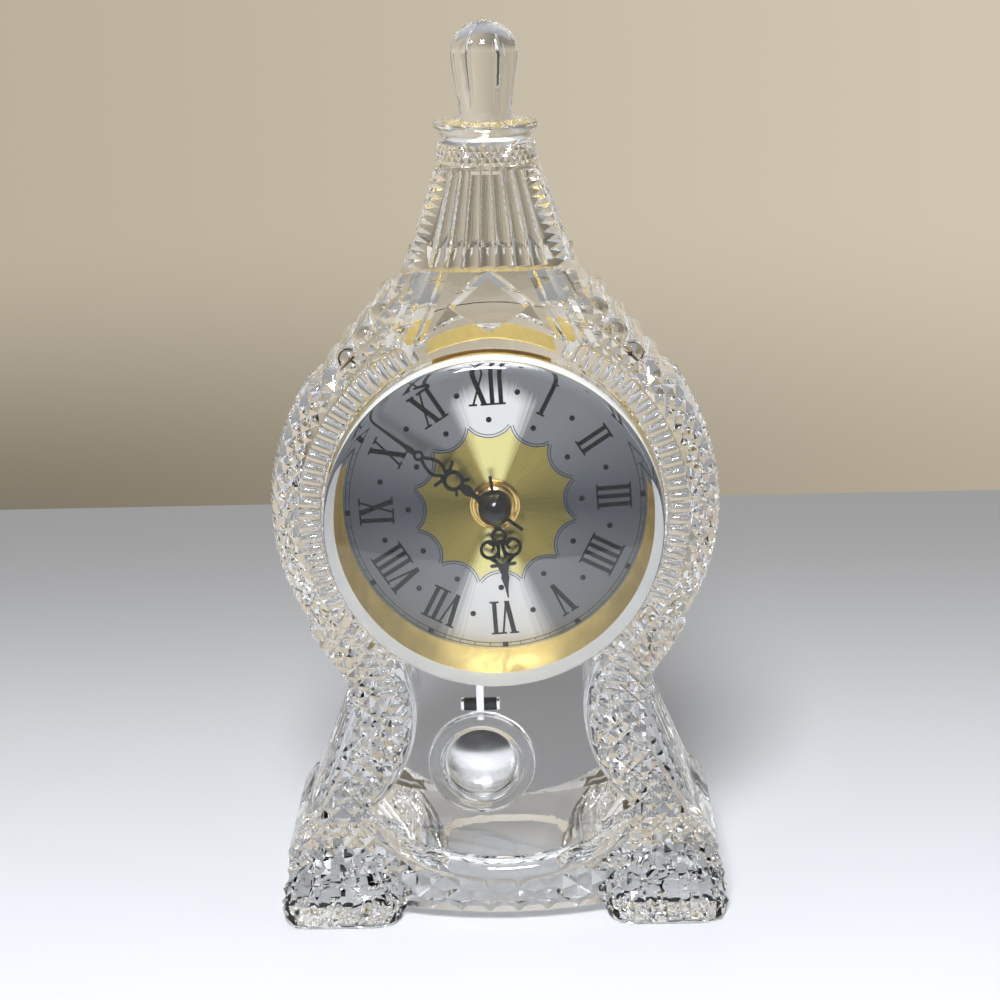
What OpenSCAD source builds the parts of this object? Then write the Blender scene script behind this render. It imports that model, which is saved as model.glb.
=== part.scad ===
// Crystal mantel clock: one cast crystal body on four feet, a loose finial, a round dial insert
// under a thick domed lens, a quartz movement with its wheel train, and a pendulum in an open bay.
// The front of the clock faces -Y and the origin is at the middle of the footprint.

/* [Crystal body] */
// Height from the table to the neck's lower edge
neck_z = 219.5; // [212:0.5:226]
// Height of the neck up to its ring
neck_h = 31; // [24:0.5:36]
// Half width of the neck at its lower edge
neck_low_r = 27; // [24:0.5:30]
// Half width of the neck at its ring
neck_top_r = 16; // [15:0.25:18]
// Depth of the drum and bay from front face to rear face
body_depth = 52; // [46:1:60]
// Radius of the drum's outline
drum_r = 73.5; // [70:0.5:78]
// Height of the drum's centre and of the hands
drum_z = 141.5; // [138:0.5:145]
// Radius of the bore that takes the dial insert
bore_r = 54.5; // [54.2:0.1:56]
// Radial width of the ribbed band round the bore
rib_band = 8; // [5:0.5:10]
// Count of ribs in a full turn of the band
rib_count = 96; // [48:2:110]
// Count of scallops in a full turn of the rim
scallop_count = 66; // [40:2:80]
// Half width of the bay at its waist
bay_half = 27.5; // [27:0.5:30]
// Height of the bay's waist
waist_z = 73; // [71:0.5:76]
// Radius of the arcs that narrow the bay
waist_r = 46; // [40:1:50]
// Height of the bay floor at its lowest line
floor_z = 22.3; // [20:0.1:22.8]
// Radius of the curved bay floor
smile_r = 58.8; // [56:0.5:70]
// Width of the base over its lower corners
base_w = 143; // [138:1:150]
// Depth of the base over its lower corners
base_depth = 58; // [56:1:66]
// Height of the feet
foot_h = 20; // [14:0.5:22]
// Width over the feet
feet_w = 149; // [144:1:156]
// Width of one foot
foot_w = 40; // [34:0.5:44]
// Depth over the feet
feet_depth = 68; // [64:1:76]
// Depth of one foot
foot_d = 25; // [20:0.5:28]
// Gap from the table to the lower edge of the apron
apron_gap = 5; // [3:0.5:8]

/* [Collar and finial] */
// Radius of the ring under the lip
ring_r = 15.4; // [15:0.1:17]
// Radius of the flared lip
lip_r = 17.2; // [17:0.1:19]
// Height of the ring and lip together
collar_h = 13.2; // [11:0.2:15]
// Radius of the socket for the finial
socket_r = 5; // [4:0.1:6]
// Depth of the socket
socket_h = 12; // [8:0.5:14]
// Visible height of the finial
finial_h = 31.3; // [26:0.1:36]
// Radius of the finial at its widest
finial_r = 10.6; // [9.5:0.1:11.5]
// Clearance round the finial's spigot
spigot_gap = 0.1; // [0.05:0.05:0.3]

/* [Dial insert] */
// Radius of the lens
lens_r = 53.6; // [52.8:0.1:54]
// Thickness of the lens at its edge
lens_edge = 11; // [8:0.5:13]
// Rise of the dome above the edge
dome_rise = 7; // [4:0.5:9]
// How far the back of the lens lies before the front face of the body
lens_stand = 2; // [1.5:0.5:4]
// Radius of the dial
dial_r = 50; // [48:0.5:50.5]
// Thickness of the dial
dial_t = 0.6; // [0.4:0.1:1]
// Depth of the dial's face behind the front face of the body
dial_depth = 16.5; // [15:0.5:18]
// Outer radius of the dial case
case_r = 52.4; // [52:0.1:53]
// Wall of the dial case
case_wall = 1.2; // [0.8:0.1:1.6]
// Turn of the insert in its bore, seen from the front
insert_turn = 2.7; // [0:0.1:6]

/* [Movement] */
// Width and height of the movement
mov_w = 56; // [55:0.5:60]
// Depth of the movement
mov_depth = 17; // [16.6:0.1:20]
// Wall of the movement's shells
mov_wall = 1; // [0.8:0.1:1.2]
// Radius of the cell
cell_r = 7.1; // [6.9:0.05:7.2]
// Length of the cell
cell_l = 49; // [48:0.5:50]
// Radius of the threaded bush
bush_r = 4; // [3.6:0.1:4.5]
// Radius of the minute arbor
arbor_r = 1.3; // [1.2:0.05:1.5]
// Running clearance of shafts and pipes, on the radius
run_gap = 0.06; // [0.03:0.01:0.09]
// Radius of the pivots of the train
pivot_r = 0.5; // [0.4:0.05:0.6]

/* [Hands] */
// Minutes past the hour that the hands show
shown_minutes = 51.7; // [0:0.1:59.9]
// Hour that the hands show
shown_hour = 5; // [0:1:11]
// Length of the minute hand from its centre
minute_l = 48; // [40:0.5:49]
// Length of the hour hand from its centre
hour_l = 27; // [22:0.5:30]
// Thickness of the hands
hand_t = 0.5; // [0.3:0.1:0.6]
// Radius of the cap over the hands
cap_r = 5.2; // [4:0.1:6]

/* [Pendulum] */
// Sideways place of the pendulum, left of the middle
pend_x = -7.2; // [-8:0.1:-6]
// Height of its pivot below the hands
pivot_drop = 21.5; // [21:0.1:22]
// Height of the middle of the bob
bob_z = 44.2; // [43.5:0.1:45]
// Outer radius of the bob's ring
bob_r = 18.4; // [16:0.1:18.5]
// Radius of the bob's mirror
mirror_r = 13; // [10:0.1:13.5]
// Depth of the bob's ring
bob_d = 5; // [4:0.2:6]
// Width of the rod
rod_w = 2.6; // [2:0.1:3]
// Thickness of the rod
rod_t = 0.8; // [0.6:0.1:1.2]

/* [Hidden] */
$fn = 96;
cut = 0.5;

crystal = [0.90, 0.93, 0.94, 0.55];
clear = [0.93, 0.95, 0.96, 0.45];
gold = [0.83, 0.67, 0.30];
silver = [0.78, 0.79, 0.81];
black = [0.06, 0.06, 0.07];
nylon = [0.93, 0.93, 0.90];

front_y = -body_depth / 2;
rear_y = body_depth / 2;
dial_y = front_y + dial_depth;
lens_back_y = front_y - lens_stand;
lens_rim_y = lens_back_y - lens_edge;
case_floor_y = dial_y + dial_t;
mov_front_y = case_floor_y + case_wall;
mov_rear_y = mov_front_y + mov_depth;
mov_split_y = mov_front_y + mov_depth / 2;
inner_front_y = mov_front_y + mov_wall;
inner_rear_y = mov_rear_y - mov_wall;
middle_y = (lens_stand + lens_edge + dome_rise + (body_depth - feet_depth) / 2) / 2;

// A flat shape drawn in X and Z, made solid from y0 to y1
module slab(y0, y1) {
    translate([0, y1, 0])
        rotate([90, 0, 0])
            linear_extrude(height = y1 - y0)
                children();
}

// A rod along Y from y0 to y1, with its axis at x and z
module rod(x, z, y0, y1, r) {
    translate([x, y1, z])
        rotate([90, 0, 0])
            cylinder(h = y1 - y0, r = r);
}

// A cone along Y, of radius r0 at y0 and r1 at y1
module cone(x, z, y0, y1, r0, r1) {
    translate([x, y1, z])
        rotate([90, 0, 0])
            cylinder(h = y1 - y0, r1 = r1, r2 = r0);
}

// The body's middle plane, set back so that the lens and the rear feet reach equally far
module centred() {
    translate([0, middle_y, 0])
        children();
}

// Places in X and Z from the hands' axis
module at_hands() {
    translate([0, middle_y, drum_z])
        children();
}

// Everything that follows the insert's small turn about the hands' axis
module on_insert() {
    at_hands()
        rotate([0, -insert_turn, 0])
            children();
}

/* The cast crystal body */
shoulder_z = neck_z + 1;
rim_bevel = 7;
rear_bevel = 6;
drum_draft = 3;
scallop_r = 3.4;
scallop_first = -36;
scallop_last = 54;
rib_r = 1.5;
rib_free_top = 24;
rib_free_low = 42;
waist_out_r = 40;
waist_out = 47.2;
waist_out_z = 70;
base_top = 31;
wing_y = 18;
wing_top_z = 74;
wing_top_x = 53;
apron_t = 7;
neck_depth_low = 20;
neck_depth_top = 15;
neck_edge_r = 33;

// Outline of the shoulders between the drum and the neck
module shoulder_shape() {
    polygon([[-neck_low_r - 6.5, neck_z - 5], [-neck_low_r, shoulder_z], [neck_low_r, shoulder_z],
        [neck_low_r + 6.5, neck_z - 5], [39, neck_z - 13], [47.5, neck_z - 24],
        [40, drum_z + 40], [-40, drum_z + 40], [-47.5, neck_z - 24], [-39, neck_z - 13]]);
}

// Outline of the two supports and the base between them
module support_shape() {
    difference() {
        polygon([[-53, drum_z - 40], [-53, base_top + 24], [-base_w / 2, base_top],
            [-base_w / 2, foot_h - 2], [base_w / 2, foot_h - 2], [base_w / 2, base_top],
            [53, base_top + 24], [53, drum_z - 40]]);
        for (side = [-1, 1])
            translate([side * (waist_out + waist_out_r), waist_out_z])
                circle(r = waist_out_r);
    }
}

// The open bay: a waist between two arcs over a floor that curves up to both sides
module bay_shape() {
    difference() {
        intersection() {
            translate([-bay_half - 14, floor_z - cut])
                square([2 * bay_half + 28, drum_z - 30 - floor_z]);
            translate([0, floor_z + smile_r])
                circle(r = smile_r);
        }
        for (side = [-1, 1])
            translate([side * (bay_half + waist_r), waist_z])
                circle(r = waist_r);
    }
}

module drum_solid() {
    cone(0, drum_z, front_y, front_y + rim_bevel, bore_r + rib_band, drum_r - 1.2);
    cone(0, drum_z, front_y + rim_bevel, rear_y - rear_bevel, drum_r - 1.2, drum_r - drum_draft);
    cone(0, drum_z, rear_y - rear_bevel, rear_y, drum_r - drum_draft, bore_r + rib_band);
    for (i = [0 : scallop_count - 1])
        let (a = 360 * (i + 0.5) / scallop_count)
            if (a < scallop_last || a > 180 - scallop_last && a < 180 - scallop_first
                    || a > 360 + scallop_first)
                rod((drum_r - scallop_r) * cos(a), drum_z + (drum_r - scallop_r) * sin(a),
                    front_y + rim_bevel - 1, rear_y - rear_bevel - 6, scallop_r);
}

// Half-round ribs that lie radially on the front face round the bore
module rib_band_solid() {
    for (i = [0 : rib_count - 1])
        let (a = 360 * (i + 0.5) / rib_count)
            if (abs(a - 90) > rib_free_top && abs(a - 270) > rib_free_low)
                translate([0, front_y, drum_z])
                    rotate([0, 90 - a, 0])
                        translate([0, 0, bore_r + 0.8])
                            cylinder(h = rib_band - 1.2, r = rib_r, $fn = 16);
}

module neck_solid() {
    intersection() {
        slab(-neck_low_r, neck_low_r)
            polygon([[-neck_low_r, neck_z], [-neck_top_r, neck_z + neck_h],
                [neck_top_r, neck_z + neck_h], [neck_low_r, neck_z]]);
        rotate([0, 0, 90])
            slab(-neck_low_r, neck_low_r)
                polygon([[-neck_depth_low, neck_z], [-neck_depth_top, neck_z + neck_h],
                    [neck_depth_top, neck_z + neck_h], [neck_depth_low, neck_z]]);
        for (turn = [45, -45])
            rotate([0, 0, turn])
                slab(-50, 50)
                    polygon([[-neck_edge_r + 4, neck_z], [-neck_edge_r + 14, neck_z + neck_h],
                        [neck_edge_r - 14, neck_z + neck_h], [neck_edge_r - 4, neck_z]]);
    }
}

// One long flute down a neck face, wider at the foot
module neck_flute(low, top, depth_low, depth_top, r_low, r_top) {
    lean_x = atan((low - top) / neck_h);
    lean_y = atan((depth_low - depth_top) / neck_h);
    translate([low, -depth_low - r_low * 0.45, neck_z + 1.5])
        rotate([-lean_y, -lean_x, 0])
            cylinder(h = neck_h - 2.5, r1 = r_low, r2 = r_top, $fn = 16);
}

module neck_flutes() {
    for (turn = [0, 180])
        rotate([0, 0, turn])
            for (i = [-4 : 4])
                neck_flute(i * 4.4, i * 2.7, neck_depth_low, neck_depth_top, 1.9, 1.1);
    for (turn = [90, 270])
        rotate([0, 0, turn])
            for (i = [-2 : 2])
                neck_flute(i * 4.4, i * 2.7, neck_low_r, neck_top_r, 1.9, 1.1);
}

module collar_solid() {
    z0 = neck_z + neck_h - 1;
    z1 = neck_z + neck_h + collar_h;
    rotate_extrude()
        polygon([[0, z0], [neck_top_r - 1.2, z0], [ring_r, z0 + 2], [ring_r, z1 - 6.5],
            [ring_r - 1.6, z1 - 5.6], [ring_r - 1.2, z1 - 4], [lip_r, z1 - 1.2], [lip_r - 0.5, z1],
            [0, z1]]);
}

// One side wing: a fluted panel that leans out from the waist to the base corner
module wing(side) {
    slab(-wing_y, wing_y)
        polygon([[side * (waist_out - 4), wing_top_z], [side * wing_top_x, wing_top_z],
            [side * 58, 67], [side * 62.8, 50], [side * 68.5, base_top],
            [side * (waist_out - 4), base_top]]);
}

module wing_flutes(side) {
    lean = atan((68.5 - 58) / (67 - base_top));
    for (i = [-3 : 3])
        translate([side * 69.6, i * 4.8, base_top + 1])
            rotate([0, -side * lean, 0])
                cylinder(h = 42, r = 1.7, $fn = 16);
}

// A rounded rectangle of width w and depth d, with corners of radius r
module round_rect(w, d, r) {
    square([w - 2 * r, d], center = true);
    square([w, d - 2 * r], center = true);
    for (sx = [-1, 1])
        for (sy = [-1, 1])
            translate([sx * (w / 2 - r), sy * (d / 2 - r)])
                circle(r = r, $fn = 48);
}

foot_x = (feet_w - foot_w) / 2;
foot_y = (feet_depth - foot_d) / 2;

module foot(sx, sy) {
    translate([sx * foot_x, sy * foot_y, 0]) {
        linear_extrude(height = 1.5)
            round_rect(foot_w - 3, foot_d - 3, 7);
        translate([0, 0, 1.5])
            linear_extrude(height = foot_h - 7.5)
                round_rect(foot_w, foot_d, 8);
        translate([-sx * 1.5, -sy * 2, foot_h - 6])
            linear_extrude(height = 6)
                round_rect(foot_w - 3, foot_d - 4, 7);
    }
}

// The aprons bulge forward in plan between the feet
apron_bow_r = 130;
apron_x = feet_w / 2 - foot_w + 6;

module apron(sy) {
    face = base_depth / 2 + 3;
    intersection() {
        translate([-apron_x, sy > 0 ? face - apron_t - 3 : -face, apron_gap])
            cube([2 * apron_x, apron_t + 3, floor_z - apron_gap + 8]);
        translate([0, sy * (face - apron_bow_r), 0])
            cylinder(h = 60, r = apron_bow_r, $fn = 240);
    }
}

// The four-pointed cut on the shoulder over the dial
module rhombus_cut() {
    half_w = 10.5;
    arm_l = 34;
    arm_w = 3.4;
    low = bore_r + 8;
    high = neck_z - drum_z - 2;
    middle = (low + high) / 2;
    for (sx = [-1, 1])
        for (sz = [-1, 1])
            translate([sx * half_w, front_y - 3.2, drum_z + middle + sz * (high - low) / 2])
                rotate([0, sx * sz * 55, 0])
                    rotate([0, 0, 45])
                        cube([arm_w, arm_w, arm_l], center = true);
}

module crystal_body() {
    socket_z = neck_z + neck_h + collar_h - socket_h;
    centred()
        color(crystal)
            difference() {
                union() {
                    drum_solid();
                    rib_band_solid();
                    slab(front_y + 3, rear_y - rear_bevel)
                        shoulder_shape();
                    slab(front_y, rear_y)
                        support_shape();
                    slab(-base_depth / 2, base_depth / 2)
                        intersection() {
                            support_shape();
                            translate([-base_w, foot_h - 2])
                                square([2 * base_w, base_top - foot_h + 2]);
                        }
                    for (side = [-1, 1])
                        difference() {
                            wing(side);
                            wing_flutes(side);
                        }
                    for (sx = [-1, 1])
                        for (sy = [-1, 1])
                            foot(sx, sy);
                    for (sy = [-1, 1])
                        apron(sy);
                    difference() {
                        neck_solid();
                        neck_flutes();
                    }
                    collar_solid();
                }
                rod(0, drum_z, front_y - 5, rear_y + 5, bore_r);
                slab(front_y - 20, rear_y + 20)
                    bay_shape();
                rhombus_cut();
                translate([0, 0, socket_z])
                    cylinder(h = socket_h + cut, r = socket_r);
            }
}

module finial() {
    z0 = neck_z + neck_h + collar_h;
    centred()
        color(clear) {
            rotate_extrude($fn = 8)
                polygon([[0, z0], [0.76 * finial_r, z0], [0.80 * finial_r, z0 + 0.12 * finial_h],
                    [0.90 * finial_r, z0 + 0.36 * finial_h], [0.98 * finial_r, z0 + 0.54 * finial_h],
                    [finial_r, z0 + 0.66 * finial_h], [0.95 * finial_r, z0 + 0.77 * finial_h],
                    [0.80 * finial_r, z0 + 0.86 * finial_h], [0.56 * finial_r, z0 + 0.925 * finial_h],
                    [0.27 * finial_r, z0 + 0.965 * finial_h], [0.09 * finial_r, z0 + 0.98 * finial_h],
                    [0.05 * finial_r, z0 + finial_h], [0, z0 + finial_h]]);
            translate([0, 0, z0 - socket_h + 0.5])
                cylinder(h = socket_h - 0.5, r = socket_r - spigot_gap);
        }
}

/* The dial insert */
module gasket_ring() {
    centred()
        color(clear)
            difference() {
                rod(0, drum_z, front_y + 1, case_floor_y + case_wall, bore_r - 0.05);
                rod(0, drum_z, front_y, case_floor_y + case_wall + 1, case_r + 0.02);
            }
}

module lens() {
    dome_r = (lens_r * lens_r + dome_rise * dome_rise) / (2 * dome_rise);
    centred()
        color(clear) {
            rod(0, drum_z, lens_rim_y, lens_back_y, lens_r);
            intersection() {
                rod(0, drum_z, lens_rim_y - dome_rise - 1, lens_rim_y + 1, lens_r);
                translate([0, lens_rim_y - dome_rise + dome_r, drum_z])
                    rotate([90, 0, 0])
                        sphere(r = dome_r, $fn = 180);
            }
        }
}

module dial_case() {
    bore_back_r = dial_r + 0.1;
    centred()
        color(gold)
            difference() {
                union() {
                    rod(0, drum_z, front_y + 1, mov_front_y, case_r);
                    rod(0, drum_z, lens_back_y, front_y + 1, lens_r - 0.6);
                }
                cone(0, drum_z, lens_back_y - 0.01, dial_y + 0.01, case_r - case_wall, bore_back_r);
                rod(0, drum_z, dial_y, case_floor_y, bore_back_r);
                rod(0, drum_z, dial_y, mov_front_y + 1, bush_r + 0.05);
            }
}

star_r = 25.4;
star_dip = 21.6;
numeral_r = 38;
track_r = 46.4;
print_t = 0.12;

// The centre star: twelve points with hollow sides
module star_shape() {
    polygon([for (i = [0 : 11]) for (k = [0 : 5])
        let (a = 30 * i + 15 + 5 * k, r = star_r - (star_r - star_dip) * sin(30 * k))
            [r * cos(a), r * sin(a)]]);
}

module hour_marks() {
    for (i = [0 : 11])
        rotate(30 * i) {
            translate([0, numeral_r])
                square([i % 3 == 0 ? 5 : 3.4, 7.4], center = true);
            translate([0, track_r])
                square([1.2, 1.6], center = true);
            translate([0, star_r + 4])
                circle(r = 0.7, $fn = 16);
        }
}

module dial() {
    on_insert()
        color(silver)
            difference() {
                union() {
                    rod(0, 0, dial_y, case_floor_y, dial_r);
                    slab(dial_y - print_t, dial_y + cut / 2)
                        star_shape();
                    slab(dial_y - print_t, dial_y + cut / 2)
                        hour_marks();
                }
                rod(0, 0, dial_y - 1, case_floor_y + 1, bush_r + 0.05);
            }
}

/* Wheels of the train. Places are in X and Z from the hands' axis. */
cannon_n = 10;
minute_n = 30;
minute_pinion_n = 8;
hour_n = 32;
motion_m = 0.5;
centre_n = 64;
third_pinion_n = 8;
third_n = 60;
seconds_pinion_n = 8;
seconds_n = 50;
idler_pinion_n = 10;
idler_n = 72;
rotor_n = 12;
train_m = 0.25;
idler_m = 0.3;
rotor_m = 0.2;

minute_dir = 165;
third_dir = -20;
seconds_dir = -100;
idler_dir = 175;
rotor_dir = 200;

function beside(p, dir, m, na, nb) = p + m * (na + nb) / 2 * [cos(dir), sin(dir)];
// Turn of the second wheel that puts its gap over the first wheel's tooth
function meshed(turn, na, dir, nb) =
    let (u = (dir - turn) * na / 360)
        dir + 180 + (u - 0.5) * 360 / nb;

hands_at = [0, 0];
minute_at = beside(hands_at, minute_dir, motion_m, cannon_n, minute_n);
third_at = beside(hands_at, third_dir, train_m, centre_n, third_pinion_n);
seconds_at = beside(third_at, seconds_dir, train_m, third_n, seconds_pinion_n);
idler_at = beside(seconds_at, idler_dir, idler_m, seconds_n, idler_pinion_n);
rotor_at = beside(idler_at, rotor_dir, rotor_m, idler_n, rotor_n);

cannon_turn = 0;
minute_turn = meshed(cannon_turn, cannon_n, minute_dir, minute_n);
hour_turn = meshed(0, minute_pinion_n, minute_dir + 180, hour_n);
third_turn = meshed(0, centre_n, third_dir, third_pinion_n);
seconds_turn = meshed(third_turn, third_n, seconds_dir, seconds_pinion_n);
idler_turn = meshed(seconds_turn, seconds_n, idler_dir, idler_pinion_n);
rotor_turn = meshed(idler_turn, idler_n, rotor_dir, rotor_n);

// Levels of the wheels along Y
wheel_t = 0.8;
hour_y = inner_front_y + 0.8;
motion_y = hour_y + 1.5;
centre_y = motion_y + 2;
third_y = centre_y + 2;
seconds_y = third_y + 2;
idler_y = seconds_y + 1.8;
magnet_y = idler_y + 1.7;
magnet_t = 1.5;

// Outline of a wheel of n teeth, with slim teeth and deep gaps for a free mesh
module teeth(n, m, turn) {
    tip = m * n / 2 + 0.8 * m;
    root = m * n / 2 - 1.15 * m;
    pitch = 360 / n;
    polygon([for (i = [0 : n - 1])
        let (a = turn + i * pitch)
            each [[root * cos(a - 0.27 * pitch), root * sin(a - 0.27 * pitch)],
                [m * n / 2 * cos(a - 0.20 * pitch), m * n / 2 * sin(a - 0.20 * pitch)],
                [tip * cos(a - 0.09 * pitch), tip * sin(a - 0.09 * pitch)],
                [tip * cos(a + 0.09 * pitch), tip * sin(a + 0.09 * pitch)],
                [m * n / 2 * cos(a + 0.20 * pitch), m * n / 2 * sin(a + 0.20 * pitch)],
                [root * cos(a + 0.27 * pitch), root * sin(a + 0.27 * pitch)]]]);
}

module wheel(at, y, n, m, turn, t) {
    translate([at[0], 0, at[1]])
        slab(y, y + t)
            teeth(n, m, turn);
}

// A wheel and its pinion on one arbor between the two shells of the movement
module train_wheel(at, wheel_y, n, m, turn, pinion_y, pinion_n, pinion_m, pinion_turn) {
    wheel(at, wheel_y, n, m, turn, wheel_t);
    wheel(at, pinion_y - 0.2, pinion_n, pinion_m, pinion_turn, wheel_t + 0.4);
    rod(at[0], at[1], min(wheel_y, pinion_y), max(wheel_y, pinion_y) + wheel_t, 1.5 * pivot_r);
    rod(at[0], at[1], inner_front_y - mov_wall / 2, inner_rear_y + mov_wall / 2, pivot_r);
}

hour_pipe_r = arbor_r + run_gap + 0.9;
bush_top_y = dial_y - 2.8;
hour_hand_y = bush_top_y - 0.9;
minute_hand_y = hour_hand_y - 1.5;

module minute_arbor() {
    at_hands()
        color(silver) {
            rod(0, 0, minute_hand_y - 0.6, centre_y - 0.4, arbor_r);
            rod(0, 0, centre_y - 0.4, inner_rear_y + mov_wall / 2, back_arbor_r);
            wheel(hands_at, motion_y - 0.2, cannon_n, motion_m, cannon_turn, wheel_t + 0.4);
        }
}

module minute_wheel() {
    at_hands()
        color(nylon) {
            wheel(minute_at, motion_y, minute_n, motion_m, minute_turn, wheel_t);
            wheel(minute_at, hour_y - 0.2, minute_pinion_n, motion_m, 0, 1.7);
            rod(minute_at[0], minute_at[1], inner_front_y - mov_wall / 2, mov_rear_y + knob_seat,
                knob_arbor_r);
        }
}

knob_r = 5;
knob_h = 3.4;
knob_seat = 2.2;

module setting_knob() {
    grip = [for (i = [0 : 23]) for (k = [0, 1])
        let (a = 15 * i + 7.5 * k, r = knob_r - 0.4 * k)
            [r * cos(a), r * sin(a)]];
    at_hands()
        color(black)
            translate([minute_at[0], 0, minute_at[1]])
                difference() {
                    slab(mov_rear_y + 0.5, mov_rear_y + 0.5 + knob_h)
                        polygon(grip);
                    rod(0, 0, mov_rear_y, mov_rear_y + knob_seat, knob_arbor_r);
                }
}

module hour_wheel() {
    at_hands()
        color(nylon)
            difference() {
                union() {
                    wheel(hands_at, hour_y, hour_n, motion_m, hour_turn, wheel_t);
                    rod(0, 0, hour_hand_y - 0.3, hour_y + wheel_t, hour_pipe_r);
                }
                rod(0, 0, hour_hand_y - 1, hour_y + wheel_t + 1, arbor_r + run_gap);
            }
}

module centre_wheel() {
    at_hands()
        color(nylon)
            difference() {
                union() {
                    wheel(hands_at, centre_y, centre_n, train_m, 0, wheel_t);
                    rod(0, 0, centre_y - 0.3, centre_y + 1.6, 2);
                }
                rod(0, 0, centre_y - 1, centre_y + 2, back_arbor_r + run_gap);
            }
}

module third_wheel() {
    at_hands()
        color(nylon)
            train_wheel(third_at, third_y, third_n, train_m, third_turn,
                centre_y, third_pinion_n, train_m, third_turn);
}

module seconds_wheel() {
    at_hands()
        color(nylon)
            train_wheel(seconds_at, seconds_y, seconds_n, idler_m, seconds_turn,
                third_y, seconds_pinion_n, train_m, seconds_turn);
}

module idler_wheel() {
    at_hands()
        color(nylon)
            train_wheel(idler_at, idler_y, idler_n, rotor_m, idler_turn,
                seconds_y, idler_pinion_n, idler_m, idler_turn);
}

rotor_r = 3;

module rotor() {
    at_hands()
        color([0.35, 0.35, 0.38]) {
            wheel(rotor_at, idler_y - 0.2, rotor_n, rotor_m, rotor_turn, wheel_t + 0.4);
            rod(rotor_at[0], rotor_at[1], magnet_y, magnet_y + magnet_t, rotor_r);
            rod(rotor_at[0], rotor_at[1], idler_y, magnet_y, 1.5 * pivot_r);
            rod(rotor_at[0], rotor_at[1], inner_front_y - mov_wall / 2,
                inner_rear_y + mov_wall / 2, pivot_r);
        }
}

coil_x = -21;
coil_z = -11;
coil_l = 14;
coil_r = 3;
coil_core_r = 0.9;
stator_t = 0.8;
stator_y = magnet_y + 0.3;

// The stator plate holds the rotor in its hole and the coil between its two arms
module stator() {
    hole_r = rotor_r + 0.5;
    at_hands()
        color([0.62, 0.63, 0.65])
            difference() {
                union() {
                    slab(stator_y, stator_y + stator_t) {
                        translate(rotor_at)
                            circle(r = hole_r + 0.6);
                        polygon([[coil_x - 2, coil_z + coil_l / 2 + 2.4],
                            [coil_x + 3, coil_z + coil_l / 2 + 2.4],
                            [rotor_at[0] + 2, rotor_at[1] + hole_r], [rotor_at[0] - 3, rotor_at[1]],
                            [coil_x + 3, coil_z + coil_l / 2 - 0.2],
                            [coil_x - 2, coil_z + coil_l / 2 - 0.2]]);
                        translate([coil_x - 2, coil_z - coil_l / 2 - 2.4])
                            square([rotor_at[0] - coil_x - 1.5, 2.2]);
                    }
                    translate([coil_x, stator_y + stator_t / 2, coil_z - coil_l / 2 - 1.4])
                        cylinder(h = coil_l + 2.8, r = coil_core_r, $fn = 48);
                    rod(coil_x, coil_z + coil_l / 2 + 1.4, stator_y, inner_rear_y, 1);
                    rod(coil_x, coil_z - coil_l / 2 - 1.4, stator_y, inner_rear_y, 1);
                }
                rod(rotor_at[0], rotor_at[1], stator_y - 1, stator_y + 2, hole_r);
            }
}

module drive_coil() {
    y = stator_y + stator_t / 2;
    at_hands()
        color([0.72, 0.38, 0.16])
            translate([coil_x, y, coil_z - coil_l / 2])
                difference() {
                    cylinder(h = coil_l - 0.4, r = min(coil_r, inner_rear_y - y - 0.05));
                    translate([0, 0, -1])
                        cylinder(h = coil_l + 2, r = coil_core_r);
                }
}

cell_y = (inner_front_y + inner_rear_y) / 2;
cell_z = 19;
lever_y = rod_t / 2 + 3;
swing_pin_r = 0.75;
swing_coil_z = -24;
swing_post_r = 1.4;
swing_coil_r = 2.9;
swing_coil_h = 5.6;
back_arbor_r = 0.9;
knob_arbor_r = 0.9;
hole_end_gap = 0.05;

module circuit_board() {
    at_hands()
        color([0.10, 0.33, 0.20])
            slab(inner_rear_y - 1, inner_rear_y)
                translate([11, -25])
                    square([14, 22]);
}

module battery() {
    at_hands()
        color([0.20, 0.32, 0.44])
            translate([-cell_l / 2, cell_y, cell_z])
                rotate([0, 90, 0]) {
                    cylinder(h = cell_l - 1, r = cell_r);
                    translate([0, 0, cell_l - 1.1])
                        cylinder(h = 1.1, r = 2.7);
                }
}

// Sprung contacts at both ends of the cell, each seated against the case wall
module battery_contacts() {
    half = mov_w / 2 - mov_wall;
    plate_w = 7;
    plate_h = 8;
    at_hands()
        color([0.80, 0.78, 0.72]) {
            translate([cell_l / 2, cell_y - plate_w / 2, cell_z - plate_h / 2])
                cube([half - cell_l / 2, plate_w, plate_h]);
            translate([-half, cell_y - plate_w / 2, cell_z - plate_h / 2])
                cube([0.5, plate_w, plate_h]);
            translate([-half + 0.3, cell_y, cell_z])
                rotate([0, 90, 0])
                    cylinder(h = half - cell_l / 2 - 0.3, r1 = 3.4, r2 = 1.8);
        }
}

slot_half = 5;

module movement_box(y0, y1) {
    translate([-mov_w / 2, y0, -mov_w / 2])
        cube([mov_w, y1 - y0, mov_w]);
}

module movement_cavity(y0, y1) {
    half = mov_w / 2 - mov_wall;
    translate([-half, y0, -half])
        cube([2 * half, y1 - y0, 2 * half]);
}

module pivot_holes(r) {
    for (p = [third_at, seconds_at, idler_at, rotor_at])
        rod(p[0], p[1], inner_front_y - mov_wall / 2 - hole_end_gap,
            inner_rear_y + mov_wall / 2 + hole_end_gap, r);
}

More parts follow.
